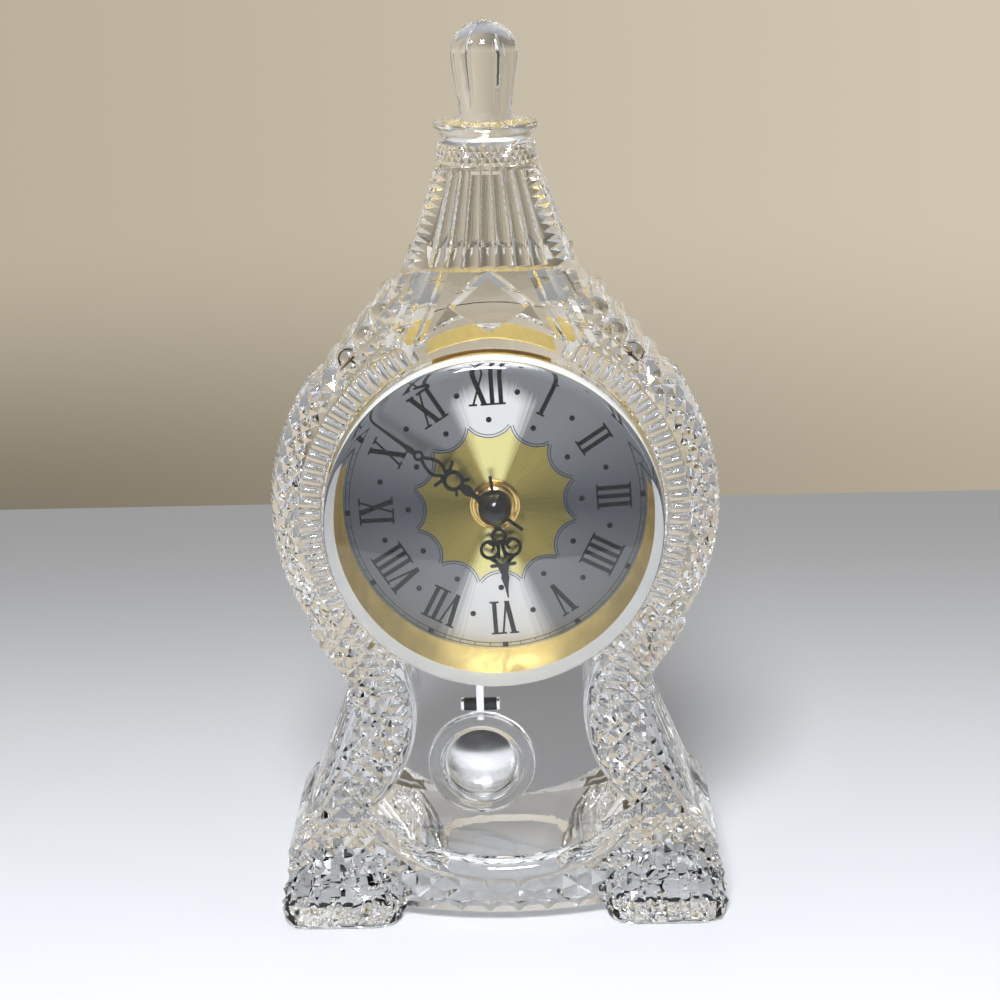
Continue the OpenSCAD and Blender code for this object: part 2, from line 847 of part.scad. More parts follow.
module movement_front() {
    at_hands()
        color([0.10, 0.10, 0.11])
            difference() {
                union() {
                    difference() {
                        movement_box(mov_front_y, mov_split_y);
                        movement_cavity(inner_front_y, mov_split_y + 1);
                    }
                    // Post that carries the pendulum's coil
                    rod(pend_x, swing_coil_z, inner_front_y - 0.2, inner_front_y + swing_coil_h + 0.4,
                        swing_post_r);
                }
                pivot_holes(pivot_r + run_gap);
                rod(minute_at[0], minute_at[1], inner_front_y - mov_wall / 2 - hole_end_gap,
                    inner_front_y + 1, knob_arbor_r + run_gap);
                rod(0, 0, mov_front_y - 1, inner_front_y + 1, bush_r);
                translate([pend_x - slot_half, lever_y - 2.6, -mov_w / 2 - 1])
                    cube([2 * slot_half, 10, mov_wall + 2]);
            }
}

module movement_back() {
    half = mov_w / 2 - mov_wall;
    at_hands()
        color([0.13, 0.13, 0.14])
            difference() {
                union() {
                    difference() {
                        movement_box(mov_split_y, mov_rear_y);
                        movement_cavity(mov_split_y - 1, inner_rear_y);
                    }
                    // Boss behind the pendulum's pivot
                    rod(pend_x, -pivot_drop, lever_y + 1.5, inner_rear_y + 0.2, 1.6);
                }
                pivot_holes(pivot_r + run_gap);
                rod(0, 0, inner_rear_y - 1, inner_rear_y + mov_wall / 2 + hole_end_gap,
                    back_arbor_r + run_gap);
                rod(minute_at[0], minute_at[1], inner_rear_y - 1, mov_rear_y + 1,
                    knob_arbor_r + run_gap);
                rod(pend_x, -pivot_drop, lever_y, mov_rear_y + 1, swing_pin_r);
                // The cell is put in from behind
                translate([-half + 0.6, inner_rear_y - 1, cell_z - cell_r - 0.3])
                    cube([2 * half - 1.2, 4, 2 * cell_r + 0.6]);
                translate([pend_x - slot_half, mov_split_y - 1, -mov_w / 2 - 1])
                    cube([2 * slot_half, lever_y + 2.6 - mov_split_y + 1, mov_wall + 2]);
            }
}

module mounting_bush() {
    at_hands()
        color(gold)
            difference() {
                union() {
                    rod(0, 0, bush_top_y, inner_front_y + 0.4, bush_r - 0.01);
                    rod(0, 0, inner_front_y, inner_front_y + 0.6, bush_r + 1);
                }
                rod(0, 0, bush_top_y - 1, inner_front_y + 1, hour_pipe_r + run_gap);
            }
}

washer_r = 7.6;
washer_t = 0.5;
nut_r = 6.2;
nut_t = 1.9;

module dial_washer() {
    at_hands()
        color(gold)
            difference() {
                rod(0, 0, dial_y - print_t - washer_t, dial_y - print_t, washer_r);
                rod(0, 0, dial_y - 2, dial_y + 1, bush_r + 0.02);
            }
}

module hand_nut() {
    y1 = dial_y - print_t - washer_t;
    at_hands()
        color(gold)
            difference() {
                rod(0, 0, y1 - nut_t, y1, nut_r);
                rod(0, 0, y1 - nut_t - 1, y1 + 1, bush_r);
            }
}

/* Hands. A hand is drawn pointing up and then turned clockwise. */
minute_angle = 6 * shown_minutes;
hour_angle = 30 * (shown_hour + shown_minutes / 60);

module turned(angle) {
    on_insert()
        rotate([0, angle, 0])
            children();
}

// A disc of a hand at x and z from the hands' axis
module disc(x, z, y, r) {
    rod(x, z, y - hand_t / 2, y + hand_t / 2, r);
}

// A hole through a hand
module eye(x, z, y, r) {
    rod(x, z, y - hand_t, y + hand_t, r);
}

// A tapered blade from half width w0 at z0 over half width w1 at z1 to a slim tip
module blade(y, z0, w0, z1, w1, tip) {
    slab(y - hand_t / 2, y + hand_t / 2)
        polygon([[-w0, z0], [-w1, z1], [-0.2, tip], [0.2, tip], [w1, z1], [w0, z0]]);
}

tail_l = 10;

module hour_hand() {
    y = hour_hand_y;
    turned(hour_angle)
        color(black)
            difference() {
                union() {
                    disc(0, 0, y, cap_r);
                    disc(0, cap_r + 1.7, y, 2.2);
                    for (side = [-1, 1])
                        disc(side * 2.3, cap_r + 5.2, y, 2.6);
                    blade(y, cap_r + 4, 2.4, cap_r + 12, 0.9, hour_l);
                    blade(y, 0, 0.7, -tail_l / 2, 0.5, -tail_l);
                }
                eye(0, cap_r + 2, y, 1.1);
                for (side = [-1, 1])
                    eye(side * 2.6, cap_r + 5.4, y, 1.3);
                eye(0, 0, y, hour_pipe_r);
            }
}

module minute_hand() {
    y = minute_hand_y;
    lug_up = 11.8;
    turned(minute_angle)
        color(black)
            difference() {
                union() {
                    disc(0, 0, y, cap_r);
                    disc(0, cap_r + 2.2, y, 2.7);
                    disc(0, cap_r + 7, y, 3.1);
                    for (side = [-1, 1])
                        disc(side * 1.9, cap_r + 11.6, y, 2.3);
                    blade(y, cap_r + 10, 1.8, cap_r + 18, 0.9, minute_l);
                    blade(y, 0, 0.7, -tail_l / 2, 0.5, -tail_l);
                }
                eye(0, cap_r + 2.4, y, 1.6);
                eye(0, cap_r + 7, y, 2);
                for (side = [-1, 1])
                    eye(side * 2.2, cap_r + lug_up, y, 1.1);
                eye(0, 0, y, arbor_r);
            }
}

module hand_cap() {
    base_y = minute_hand_y - hand_t / 2;
    at_hands()
        color(black)
            difference() {
                translate([0, base_y, 0])
                    intersection() {
                        rotate([90, 0, 0])
                            sphere(r = cap_r - 0.2);
                        rod(0, 0, -cap_r + 0.8, 0, cap_r + 1);
                    }
                rod(0, 0, minute_hand_y - 0.6, minute_hand_y + 1, arbor_r);
            }
}

/* Pendulum */
rod_y = lever_y - rod_t / 2 - 1;
lever_low = -37;
peg_z = -34;
eye_r = 0.8;

module pendulum_coil() {
    at_hands()
        color([0.72, 0.38, 0.16])
            difference() {
                rod(pend_x, swing_coil_z, inner_front_y, inner_front_y + swing_coil_h, swing_coil_r);
                rod(pend_x, swing_coil_z, inner_front_y - 1, inner_front_y + swing_coil_h + 1,
                    swing_post_r);
            }
}

module pivot_pin() {
    at_hands()
        color(silver)
            rod(pend_x, -pivot_drop, lever_y - 1.6, mov_rear_y, swing_pin_r);
}

module pendulum_lever() {
    at_hands()
        color(nylon)
            difference() {
                union() {
                    rod(pend_x, -pivot_drop, lever_y - 1, lever_y + 1.2, 2);
                    slab(lever_y - 1, lever_y + 1.2)
                        translate([pend_x - 1.4, lever_low])
                            square([2.8, -lever_low - pivot_drop]);
                    rod(pend_x, peg_z, lever_y - 1 - rod_t - 0.6, lever_y, eye_r - 0.02);
                }
                rod(pend_x, -pivot_drop, lever_y - 4, lever_y + 4, swing_pin_r + run_gap);
            }
}

module lever_magnet() {
    at_hands()
        color([0.45, 0.45, 0.48])
            rod(pend_x, swing_coil_z - 0.6, lever_y - 2, lever_y - 1, 1.2);
}

rod_top = drum_z + peg_z + 2;
clip_w = 13.4;
clip_h = 4.4;
clip_t = 1.6;
slot_depth = 2.6;
slot_gap = 0.02;
bob_bevel = 1.4;
mirror_seat = 1;
mirror_gap = 0.1;
mirror_drop = 1.6;
dish_r = 60;
dish_depth = 1.2;

module pendulum_rod() {
    rod_low = bob_z + bob_r - slot_depth;
    centred()
        color([0.92, 0.92, 0.93])
            difference() {
                slab(rod_y - rod_t / 2, rod_y + rod_t / 2)
                    translate([pend_x - rod_w / 2, rod_low])
                        square([rod_w, rod_top - rod_low]);
                rod(pend_x, drum_z + peg_z, rod_y - 2, rod_y + 2, eye_r);
            }
}

module bob_clip() {
    z0 = bob_z + bob_r + 0.6;
    centred()
        color([0.25, 0.27, 0.28])
            slab(rod_y + rod_t / 2, rod_y + rod_t / 2 + clip_t)
                translate([pend_x - clip_w / 2, z0])
                    square([clip_w, clip_h]);
}

module bob_ring() {
    front = rod_y - bob_d / 2;
    back = rod_y + bob_d / 2;
    centred()
        color(clear)
            difference() {
                union() {
                    cone(pend_x, bob_z, front, front + bob_bevel, bob_r - bob_bevel, bob_r);
                    rod(pend_x, bob_z, front + bob_bevel, back - bob_bevel, bob_r);
                    cone(pend_x, bob_z, back - bob_bevel, back, bob_r, bob_r - bob_bevel);
                }
                rod(pend_x, bob_z, front - cut, back - mirror_seat, mirror_r + mirror_gap);
                translate([pend_x - rod_w / 2 - slot_gap, rod_y - rod_t / 2 - slot_gap,
                    bob_z + bob_r - slot_depth])
                    cube([rod_w + 2 * slot_gap, rod_t + 2 * slot_gap, slot_depth + 1]);
            }
}

// A shallow dish that faces forward
module bob_mirror() {
    face_y = rod_y - bob_d / 2 + mirror_drop;
    centred()
        color([0.86, 0.87, 0.88])
            difference() {
                rod(pend_x, bob_z, face_y, rod_y + bob_d / 2 - mirror_seat, mirror_r);
                translate([pend_x, face_y + dish_depth - dish_r, bob_z])
                    rotate([90, 0, 0])
                        sphere(r = dish_r, $fn = 240);
            }
}

crystal_body();
finial();
gasket_ring();
lens();
dial_case();
dial();
movement_front();
movement_back();
mounting_bush();
dial_washer();
hand_nut();
minute_arbor();
minute_wheel();
setting_knob();
hour_wheel();
hour_hand();
minute_hand();
hand_cap();
centre_wheel();
third_wheel();
seconds_wheel();
idler_wheel();
rotor();
stator();
drive_coil();
circuit_board();
battery();
battery_contacts();
pendulum_coil();
pivot_pin();
pendulum_lever();
lever_magnet();
pendulum_rod();
bob_clip();
bob_ring();
bob_mirror();
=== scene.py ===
"""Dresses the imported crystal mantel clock: cut glass, dial, hands and pendulum, on a softly lit table."""

from math import atan2, cos, pi, radians, sin, sqrt

import bmesh
import bpy
from mathutils import Matrix, Vector


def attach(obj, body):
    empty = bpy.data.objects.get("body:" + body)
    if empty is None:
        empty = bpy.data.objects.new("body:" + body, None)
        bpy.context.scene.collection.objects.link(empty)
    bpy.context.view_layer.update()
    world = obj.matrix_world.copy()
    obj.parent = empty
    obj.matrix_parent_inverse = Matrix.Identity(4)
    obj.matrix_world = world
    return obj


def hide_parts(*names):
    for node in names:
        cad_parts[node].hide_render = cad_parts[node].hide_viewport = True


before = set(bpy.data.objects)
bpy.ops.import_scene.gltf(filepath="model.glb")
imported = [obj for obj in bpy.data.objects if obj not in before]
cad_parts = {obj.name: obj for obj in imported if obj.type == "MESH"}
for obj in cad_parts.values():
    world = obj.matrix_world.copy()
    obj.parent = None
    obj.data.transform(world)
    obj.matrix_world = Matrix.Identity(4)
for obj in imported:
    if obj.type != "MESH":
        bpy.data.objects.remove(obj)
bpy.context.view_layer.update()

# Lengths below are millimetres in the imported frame. piece() turns them into metres.
MM = 0.001

# The glass body, the axis of the hands and the bore for the insert
front_y = -20.0
rear_y = 32.0
middle_y = 6.0
hands_z = 141.5
bore_r = 54.5

# The ribbed band, the drum's rim and the scallops on the shoulders
rib_inner_r = 55.4
rib_outer_r = 62.4
rib_count = 96
rim_r = 71.6
rim_facets = 72
plain_rim_r = 69.0
plain_from = 0.60
step_r = 4.6
bump_r = 2.1

# The neck, the ring on it and the finial
neck_z = 219.5
neck_h = 31.0
neck_low = 27.0
neck_top = 16.0
neck_depth_low = 20.0
neck_depth_top = 15.0
collar_z = 250.5
finial_z = 263.7
finial_h = 31.3
finial_r = 10.6

# The open bay: a waist between two arcs over a floor that curves up to both sides
waist_r = 46.0
waist_z = 73.0
bay_half = 27.5
smile_r = 58.8
smile_z = 81.1
lip_half = 3.9

# One foot
foot_h = 20.0
foot_w = 40.0
foot_d = 25.0
foot_x = 54.5
foot_y = 21.5

# The lens and the dial
lens_r = 53.6
lens_back = -22.0
lens_rim = -33.0
lens_apex = -40.0
dome_rise = 6.2
bevel_r = 49.0
dial_y = -3.5
dial_r = 50.0
dial_hole_r = 4.06
insert_turn = radians(2.7)

# The time shown
hour_shown = 5
minute_shown = 51.7

# The pendulum
pend_x = -7.2
bob_z = 44.2
bob_r = 18.4


# Shapes

def as_mesh(bm, name="scratch"):
    """Turns a bmesh into a mesh."""
    mesh = bpy.data.meshes.new(name)
    bm.to_mesh(mesh)
    bm.free()
    return mesh


def placed(name, data):
    """Puts a new object in the scene."""
    thing = bpy.data.objects.new(name, data)
    bpy.context.scene.collection.objects.link(thing)
    return thing


def ordered(bm):
    """Puts the faces of a closed shape in a fixed order, which many bmesh operators leave to chance."""
    bmesh.ops.recalc_face_normals(bm, faces=bm.faces)
    bm.verts.index_update()
    points = [vert.co.copy() for vert in bm.verts]
    loops = []
    for face in bm.faces:
        numbers = [vert.index for vert in face.verts]
        start = numbers.index(min(numbers))
        loops.append(numbers[start:] + numbers[:start])
    bm.clear()
    verts = [bm.verts.new(point) for point in points]
    for numbers in sorted(loops):
        bm.faces.new([verts[number] for number in numbers])
    bm.normal_update()
    return bm


def spun(outline, axis, steps=96):
    """Turns an outline of (radius, along) points about the Y or Z axis into a closed solid."""
    bm = bmesh.new()
    if axis == "Y":
        verts = [bm.verts.new((r, along, 0)) for r, along in outline]
    else:
        verts = [bm.verts.new((r, 0, along)) for r, along in outline]
    edges = [bm.edges.new(pair) for pair in zip(verts, verts[1:])]
    if outline[0][0] > 0:
        edges.append(bm.edges.new((verts[-1], verts[0])))
    direction = (0, 1, 0) if axis == "Y" else (0, 0, 1)
    bmesh.ops.spin(bm, geom=verts + edges, cent=(0, 0, 0), axis=direction, dvec=(0, 0, 0),
                   angle=2 * pi, steps=steps, use_merge=True)
    bmesh.ops.remove_doubles(bm, verts=bm.verts, dist=0.001)
    return ordered(bm)


def pulled(bm, faces, way):
    """Pulls faces out along a vector and closes the sides."""
    made = bmesh.ops.extrude_face_region(bm, geom=faces)
    far = [part for part in made["geom"] if isinstance(part, bmesh.types.BMVert)]
    bmesh.ops.translate(bm, verts=far, vec=way)
    return ordered(bm)


def prism(outline, y0, y1):
    """Pulls a flat outline of (x, z) points from y0 to y1."""
    bm = bmesh.new()
    face = bm.faces.new([bm.verts.new((x, y0, z)) for x, z in outline])
    return pulled(bm, [face], (0, y1 - y0, 0))


def block(low, high):
    """A box between two corners."""
    bm = bmesh.new()
    sides = [b - a for a, b in zip(low, high)]
    middle = [(a + b) / 2 for a, b in zip(low, high)]
    place = Matrix.Translation(middle) @ Matrix.Diagonal((*sides, 1))
    bmesh.ops.create_cube(bm, size=1, matrix=place)
    return bm


def cone(start, end, r_start, r_end, sides=24):
    """A cone or rod between two points."""
    start = Vector(start)
    end = Vector(end)
    along = end - start
    place = Matrix.Translation((start + end) / 2) @ along.to_track_quat("Z", "Y").to_matrix().to_4x4()
    bm = bmesh.new()
    bmesh.ops.create_cone(bm, cap_ends=True, segments=sides, radius1=r_start, radius2=r_end,
                          depth=along.length, matrix=place)
    return bm


def run(edge, axis):
    """How far an edge goes along an axis, given as 0, 1 or 2."""
    return abs(edge.verts[0].co[axis] - edge.verts[1].co[axis])


def edges_across(bm, axis):
    """The edges that lie square to an axis."""
    return [edge for edge in bm.edges if run(edge, axis) < 0.01]


def edges_along(bm, axis, least):
    """The edges that go further than least along an axis."""
    return [edge for edge in bm.edges if run(edge, axis) > least]


def off_axis(point):
    """How far a point lies from the Y axis."""
    return Vector((point.x, point.z)).length


def softened(bm, edges, width, segments=3):
    """Rounds the given edges."""
    bmesh.ops.bevel(bm, geom=list(edges), offset=width, offset_type="OFFSET", segments=segments,
                    profile=0.5, affect="EDGES", clamp_overlap=True, material=-1)
    return bm


def merged(parts):
    """Puts several shapes in one bmesh."""
    bm = bmesh.new()
    for part in parts:
        scratch = as_mesh(part)
        bm.from_mesh(scratch)
        bpy.data.meshes.remove(scratch)
    return bm


def repeated(make, places):
    """Makes one shape for each place and joins them."""
    bm = bmesh.new()
    shape = as_mesh(make())
    for place in places:
        start = len(bm.verts)
        bm.from_mesh(shape)
        bm.verts.ensure_lookup_table()
        bmesh.ops.transform(bm, matrix=place, verts=bm.verts[start:])
    bpy.data.meshes.remove(shape)
    return bm


def to(x, y, z):
    """The place at a point."""
    return Matrix.Translation((x, y, z))


def round_y(angle):
    """A turn about the Y axis by degrees, clockwise as seen from the front."""
    return Matrix.Rotation(radians(angle), 4, "Y")


def moved(bm, place):
    """Moves or turns a shape."""
    bmesh.ops.transform(bm, matrix=place, verts=bm.verts)
    return bm


def diamond_cut(bm, faces, height):
    """Cuts four-sided faces into pyramids that stand on their corners."""
    field = set(faces)
    edges = dict.fromkeys(edge for face in faces for edge in face.edges)
    seams = [edge for edge in edges if field.issuperset(edge.link_faces)]
    centres = set(bmesh.ops.poke(bm, faces=faces, offset=0)["verts"])
    bmesh.ops.dissolve_edges(bm, edges=seams, use_verts=False, use_face_split=False)
    diamonds = [face for face in bm.faces
                if len(face.verts) == 4 and len(centres.intersection(face.verts)) == 2]
    bmesh.ops.poke(bm, faces=diamonds, offset=height, center_mode="MEAN_WEIGHTED",
                   use_relative_offset=False)
    return bm


def rows_across(bm, axis, places):
    """Cuts the whole shape by planes square to an axis, so that its faces come in rows."""
    normal = Vector((0, 0, 0))
    normal[axis] = 1
    for place in places:
        bmesh.ops.bisect_plane(bm, geom=bm.verts[:] + bm.edges[:] + bm.faces[:], dist=0.0001,
                               plane_co=normal * place, plane_no=normal)
    return bm


def loose(bm):
    """A scratch object for a Boolean."""
    return placed("scratch", as_mesh(bm))


def combined(first, *steps):
    """Runs Boolean steps, each an operation and its solids, on a solid. Gives the finished bmesh."""
    target = loose(first)
    others = []
    for operation, group in steps:
        for bm in group:
            other = loose(bm)
            others.append(other)
            step = target.modifiers.new("step", "BOOLEAN")
            step.operation = operation
            step.solver = "MANIFOLD"
            step.object = other
    result = bmesh.new()
    result.from_object(target, bpy.context.evaluated_depsgraph_get())
    for thing in [target, *others]:
        mesh = thing.data
        bpy.data.objects.remove(thing)
        bpy.data.meshes.remove(mesh)
    return result


def fused(first, added=(), removed=()):
    """Joins solids to one and cuts others away."""
    return combined(first, ("UNION", added), ("DIFFERENCE", removed))


def common(first, second):
    """Keeps only what two solids share."""
    return combined(first, ("INTERSECT", [second]))


def piece(name, bm, body, material, slot, *nodes, smooth_to=30):
    """Turns a bmesh in millimetres into a finished piece that rides on a body and stands for CAD nodes."""
    bmesh.ops.scale(bm, vec=(MM, MM, MM), verts=bm.verts)
    mesh = as_mesh(bm, name)
    mesh.shade_smooth()
    mesh.set_sharp_from_angle(angle=radians(smooth_to))
    mesh.materials.append(material)
    thing = placed(name, mesh)
    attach(thing, body)
    if nodes:
        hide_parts(*nodes)
    return thing


# Materials

def new_material(name):
    """A material with its node tree and its main shader."""
    material = bpy.data.materials.new(name)
    material.use_nodes = True
    shader = material.node_tree.nodes["Principled BSDF"]
    return material, material.node_tree, shader


def filled(node, **values):
    """Writes values into a node's inputs. An underscore stands for a space."""
    for name, value in values.items():
        node.inputs[name.replace("_", " ")].default_value = value
    return node


def new_node(tree, kind, **values):
    """A new node with values in its inputs."""
    return filled(tree.nodes.new("ShaderNode" + kind), **values)


def coordinates(tree, kind="Object", **values):
    """Coordinates in metres, shifted or stretched by a Mapping node."""
    mapping = new_node(tree, "Mapping", **values)
    tree.links.new(new_node(tree, "TexCoord").outputs[kind], mapping.inputs["Vector"])
    return mapping.outputs["Vector"]


def noise(tree, scale, detail=3.0, stretch=(1, 1, 1)):
    """Noise on object coordinates. The scale is in waves a metre."""
    grain = new_node(tree, "TexNoise", Scale=scale, Detail=detail)
    tree.links.new(coordinates(tree, Scale=stretch), grain.inputs["Vector"])
    return grain.outputs["Fac"]


def bumped(tree, shader, source, strength, distance):
    """Raises and sinks a shader's surface by a source. The distance is in metres."""
    bump = new_node(tree, "Bump", Strength=strength, Distance=distance)
    tree.links.new(source, bump.inputs["Height"])
    tree.links.new(bump.outputs["Normal"], shader.inputs["Normal"])


def ramp(tree, source, *stops):
    """A colour ramp of (place, colour) stops."""
    blend = new_node(tree, "ValToRGB")
    elements = blend.color_ramp.elements
    while len(elements) < len(stops):
        elements.new(0.5)
    for element, (place, colour) in zip(elements, stops):
        element.position = place
        element.color = (*colour, 1)
    tree.links.new(source, blend.inputs["Fac"])
    return blend.outputs["Color"]


def grey(value):
    """A grey as a colour."""
    return (value, value, value)


def mixed(tree, factor, first, second):
    """Blends two colours, each a colour or a socket."""
    mix = new_node(tree, "Mix")
    mix.data_type = "RGBA"
    tree.links.new(factor, mix.inputs["Factor"])
    for value, socket in ((first, mix.inputs["A"]), (second, mix.inputs["B"])):
        if isinstance(value, tuple):
            socket.default_value = (*value, 1)
        else:
            tree.links.new(value, socket)
    return mix.outputs["Result"]


def between(tree, source, low, high):
    """A smooth rise from 0 to 1 as a value goes from low to high."""
    rise = new_node(tree, "MapRange", From_Min=low, From_Max=high)
    rise.interpolation_type = "SMOOTHSTEP"
    tree.links.new(source, rise.inputs["Value"])
    return rise.outputs["Result"]


def maths(tree, operation, *inputs):
    """The result of a Math node. Each input is a number or a socket."""
    step = new_node(tree, "Math")
    step.operation = operation
    for value, socket in zip(inputs, step.inputs):
        if isinstance(value, float):
            socket.default_value = value
        else:
            tree.links.new(value, socket)
    return step.outputs["Value"]


def glass(name, colour, ior, wave, depth, clear=1.0, gloss_level=0.5):
    """Clear glass or plastic with the slight waves of a moulded surface."""
    material, tree, shader = new_material(name)
    filled(shader, Base_Color=(*colour, 1), Transmission_Weight=clear, Specular_IOR_Level=gloss_level,
           IOR=ior)
    grain = noise(tree, wave)
    tree.links.new(ramp(tree, grain, (0.35, grey(0.0)), (0.75, grey(0.03))), shader.inputs["Roughness"])
    bumped(tree, shader, grain, 0.25, depth)
    return material


def glossed(tree, shader, grain, rough, spread):
    """Lets the roughness vary by a share of itself with the grain."""
    gloss = ramp(tree, grain, (0.3, grey(rough * (1 - spread))), (0.7, grey(rough * (1 + spread))))
    tree.links.new(gloss, shader.inputs["Roughness"])


def skin(tree, shader, grain, dark, light, strength):
    """Lets the colour and the surface vary with the grain."""
    tree.links.new(ramp(tree, grain, (0.3, dark), (0.7, light)), shader.inputs["Base Color"])
    bumped(tree, shader, grain, strength, 0.00005)


def metal(name, dark, light, rough, wave, stretch=(1, 1, 1), strength=0.1):
    """Metal with a fine grain in its colour, gloss and surface."""
    material, tree, shader = new_material(name)
    filled(shader, Metallic=1)
    grain = noise(tree, wave, 4.0, stretch)
    glossed(tree, shader, grain, rough, 0.2)
    skin(tree, shader, grain, dark, light, strength)
    return material


def moulded(name, dark, light, rough, wave, strength=0.2, gloss_level=0.5):
    """Moulded plastic, lacquer or board with a fine uneven skin."""
    material, tree, shader = new_material(name)
    filled(shader, Specular_IOR_Level=gloss_level)
    grain = noise(tree, wave, 5.0)
    glossed(tree, shader, grain, rough, 0.15)
    skin(tree, shader, grain, dark, light, strength)
    return material


cut_crystal = glass("cut_crystal", (0.985, 0.99, 0.995), 1.54, 90, 0.0003)
lens_glass = glass("lens_glass", (0.99, 0.995, 1.0), 1.5, 30, 0.00005, gloss_level=0.25)
ground_glass = glass("ground_glass", (0.93, 0.96, 0.98), 1.45, 60, 0.004, clear=0.25)
clear_vinyl = glass("clear_vinyl", (0.95, 0.96, 0.95), 1.45, 200, 0.0002)
clear_acrylic = glass("clear_acrylic", (0.985, 0.99, 0.99), 1.49, 60, 0.0001)
cup_gold = metal("cup_gold", (0.90, 0.70, 0.22), (0.98, 0.80, 0.33), 0.6, 400, (1, 0.2, 1))
gold_metal = metal("gold_metal", (0.80, 0.60, 0.22), (0.90, 0.72, 0.33), 0.22, 400)
black_plastic = moulded("black_plastic", grey(0.012), grey(0.022), 0.45, 900)
nylon = moulded("nylon", grey(0.72), grey(0.82), 0.4, 700)
steel = metal("steel", grey(0.50), grey(0.62), 0.25, 600, (1, 1, 0.1))
magnet_steel = metal("magnet_steel", grey(0.22), grey(0.30), 0.4, 800)
black_lacquer = moulded("black_lacquer", grey(0.004), grey(0.008), 0.45, 500, 0.05, 0.15)
dial_ink = moulded("dial_ink", grey(0.003), grey(0.006), 0.6, 500, 0.05, 0.05)
copper_wire = metal("copper_wire", (0.62, 0.27, 0.14), (0.80, 0.40, 0.24), 0.35, 1500, (0.1, 1, 1), 0.4)
board_green = moulded("board_green", (0.02, 0.14, 0.06), (0.03, 0.20, 0.09), 0.4, 500)
cell_jacket = moulded("cell_jacket", (0.035, 0.07, 0.13), (0.05, 0.10, 0.18), 0.3, 300)
nickel = metal("nickel", (0.62, 0.60, 0.56), (0.74, 0.72, 0.68), 0.2, 500)
rod_silver = metal("rod_silver", grey(0.80), grey(0.90), 0.15, 500, (1, 1, 0.1))
smoke_plastic = moulded("smoke_plastic", grey(0.03), grey(0.05), 0.3, 300, 0.1)
mirror_silver = metal("mirror_silver", grey(0.90), grey(0.95), 0.2, 200)
cap_lacquer = moulded("cap_lacquer", grey(0.006), grey(0.010), 0.08, 300, 0.02)


def sunburst_and_painted_sheen(name, dark, middle, light, rough):
    """Metal brushed in rays from the middle of the dial, with a painted highlight towards 12 and 6 and
    painted shade towards 3 and 9.
    """
    material, tree, shader = new_material(name)
    filled(shader, Metallic=1, Anisotropic=0.6)
    split = new_node(tree, "SeparateXYZ")
    tree.links.new(coordinates(tree, Location=(0, 0, -hands_z * MM)), split.inputs["Vector"])
    angle = maths(tree, "ARCTAN2", split.outputs["X"], split.outputs["Z"])
    rays = new_node(tree, "TexNoise", Scale=40, Detail=8, Roughness=0.7)
    rays.noise_dimensions = "1D"
    tree.links.new(angle, rays.inputs["W"])
    # Painted highlight: the colour is lightest towards 12 and 6 and darkest towards 3 and 9, by the angle
    # alone
    painted_sheen = maths(tree, "ABSOLUTE", maths(tree, "COSINE", angle))
    rays_and_painted_sheen = maths(tree, "MULTIPLY_ADD", rays.outputs["Fac"], 0.06, painted_sheen)
    # Painted shade: the painted highlight is dimmed over the top of the dial
    painted_top_dimming = between(tree, split.outputs["Z"], 0.029, 0.040)
    painted_sheen_dimmed = maths(tree, "MULTIPLY_ADD", painted_top_dimming, -0.09, rays_and_painted_sheen)
    # The light colour at the end of the ramp is the painted highlight's colour
    colour = ramp(tree, painted_sheen_dimmed, (0.1, dark), (0.82, middle), (0.94, middle), (1.0, light))
    tree.links.new(colour, shader.inputs["Base Color"])
    glossed(tree, shader, rays.outputs["Fac"], rough, 0.15)
    tangent = new_node(tree, "Tangent")
    tangent.direction_type = "RADIAL"
    tangent.axis = "Y"
    tree.links.new(tangent.outputs["Tangent"], shader.inputs["Tangent"])
    bumped(tree, shader, rays.outputs["Fac"], 0.08, 0.00003)
    return material


# The last colour given to each dial metal is its painted highlight
dial_silver = sunburst_and_painted_sheen("dial_silver", (0.085, 0.095, 0.11), (0.24, 0.25, 0.265), (0.98, 0.98, 0.98), 0.34)
dial_gold = sunburst_and_painted_sheen("dial_gold", (0.165, 0.135, 0.035), (0.36, 0.29, 0.08), (1.0, 0.92, 0.40), 0.30)


# The crystal body

def at_hands(bm):
    """Lifts a shape that was made round the origin to the hands' axis."""
    return moved(bm, to(0, 0, hands_z))


def at_middle(bm):
    """Moves a shape that was made round the Z axis back to the body's middle plane."""
    return moved(bm, to(0, middle_y, 0))


def at_foot(sx, sy, z):
    """The place of one foot, at a height."""
    return to(sx * foot_x, middle_y + sy * foot_y, z)


def round_drum(angles):
    """Places on the drum's rim, turned from the right-hand side upwards."""
    centre = to(0, 0, hands_z)
    return [centre @ round_y(-angle) for angle in angles]


def drum():
    """The ring of glass round the dial. Its rim is cut in diamonds, but for the stepped shoulders."""
    outline = [(50, front_y), (62.6, front_y), (66.8, -17.4), (rim_r - 0.8, -13.4), (rim_r, -6.8),
               (rim_r, 0), (rim_r - 0.2, 6.6), (rim_r - 0.5, 13), (rim_r - 0.9, 19.5), (69.4, 26),
               (66.5, 30), (62.5, rear_y), (50, rear_y)]
    bm = spun(outline, "Y", rim_facets)
    for vert in bm.verts:
        radius = off_axis(vert.co)
        if radius > 66 and vert.co.z > radius * plain_from:
            vert.co.x *= plain_rim_r / rim_r
            vert.co.z *= plain_rim_r / rim_r
    rim = []
    for face in bm.faces:
        at = face.calc_center_median()
        radius = off_axis(at)
        if radius > 63 and (at.z < radius * plain_from or at.y < -12):
            rim.append(face)
    return at_hands(diamond_cut(bm, rim, 1.4))


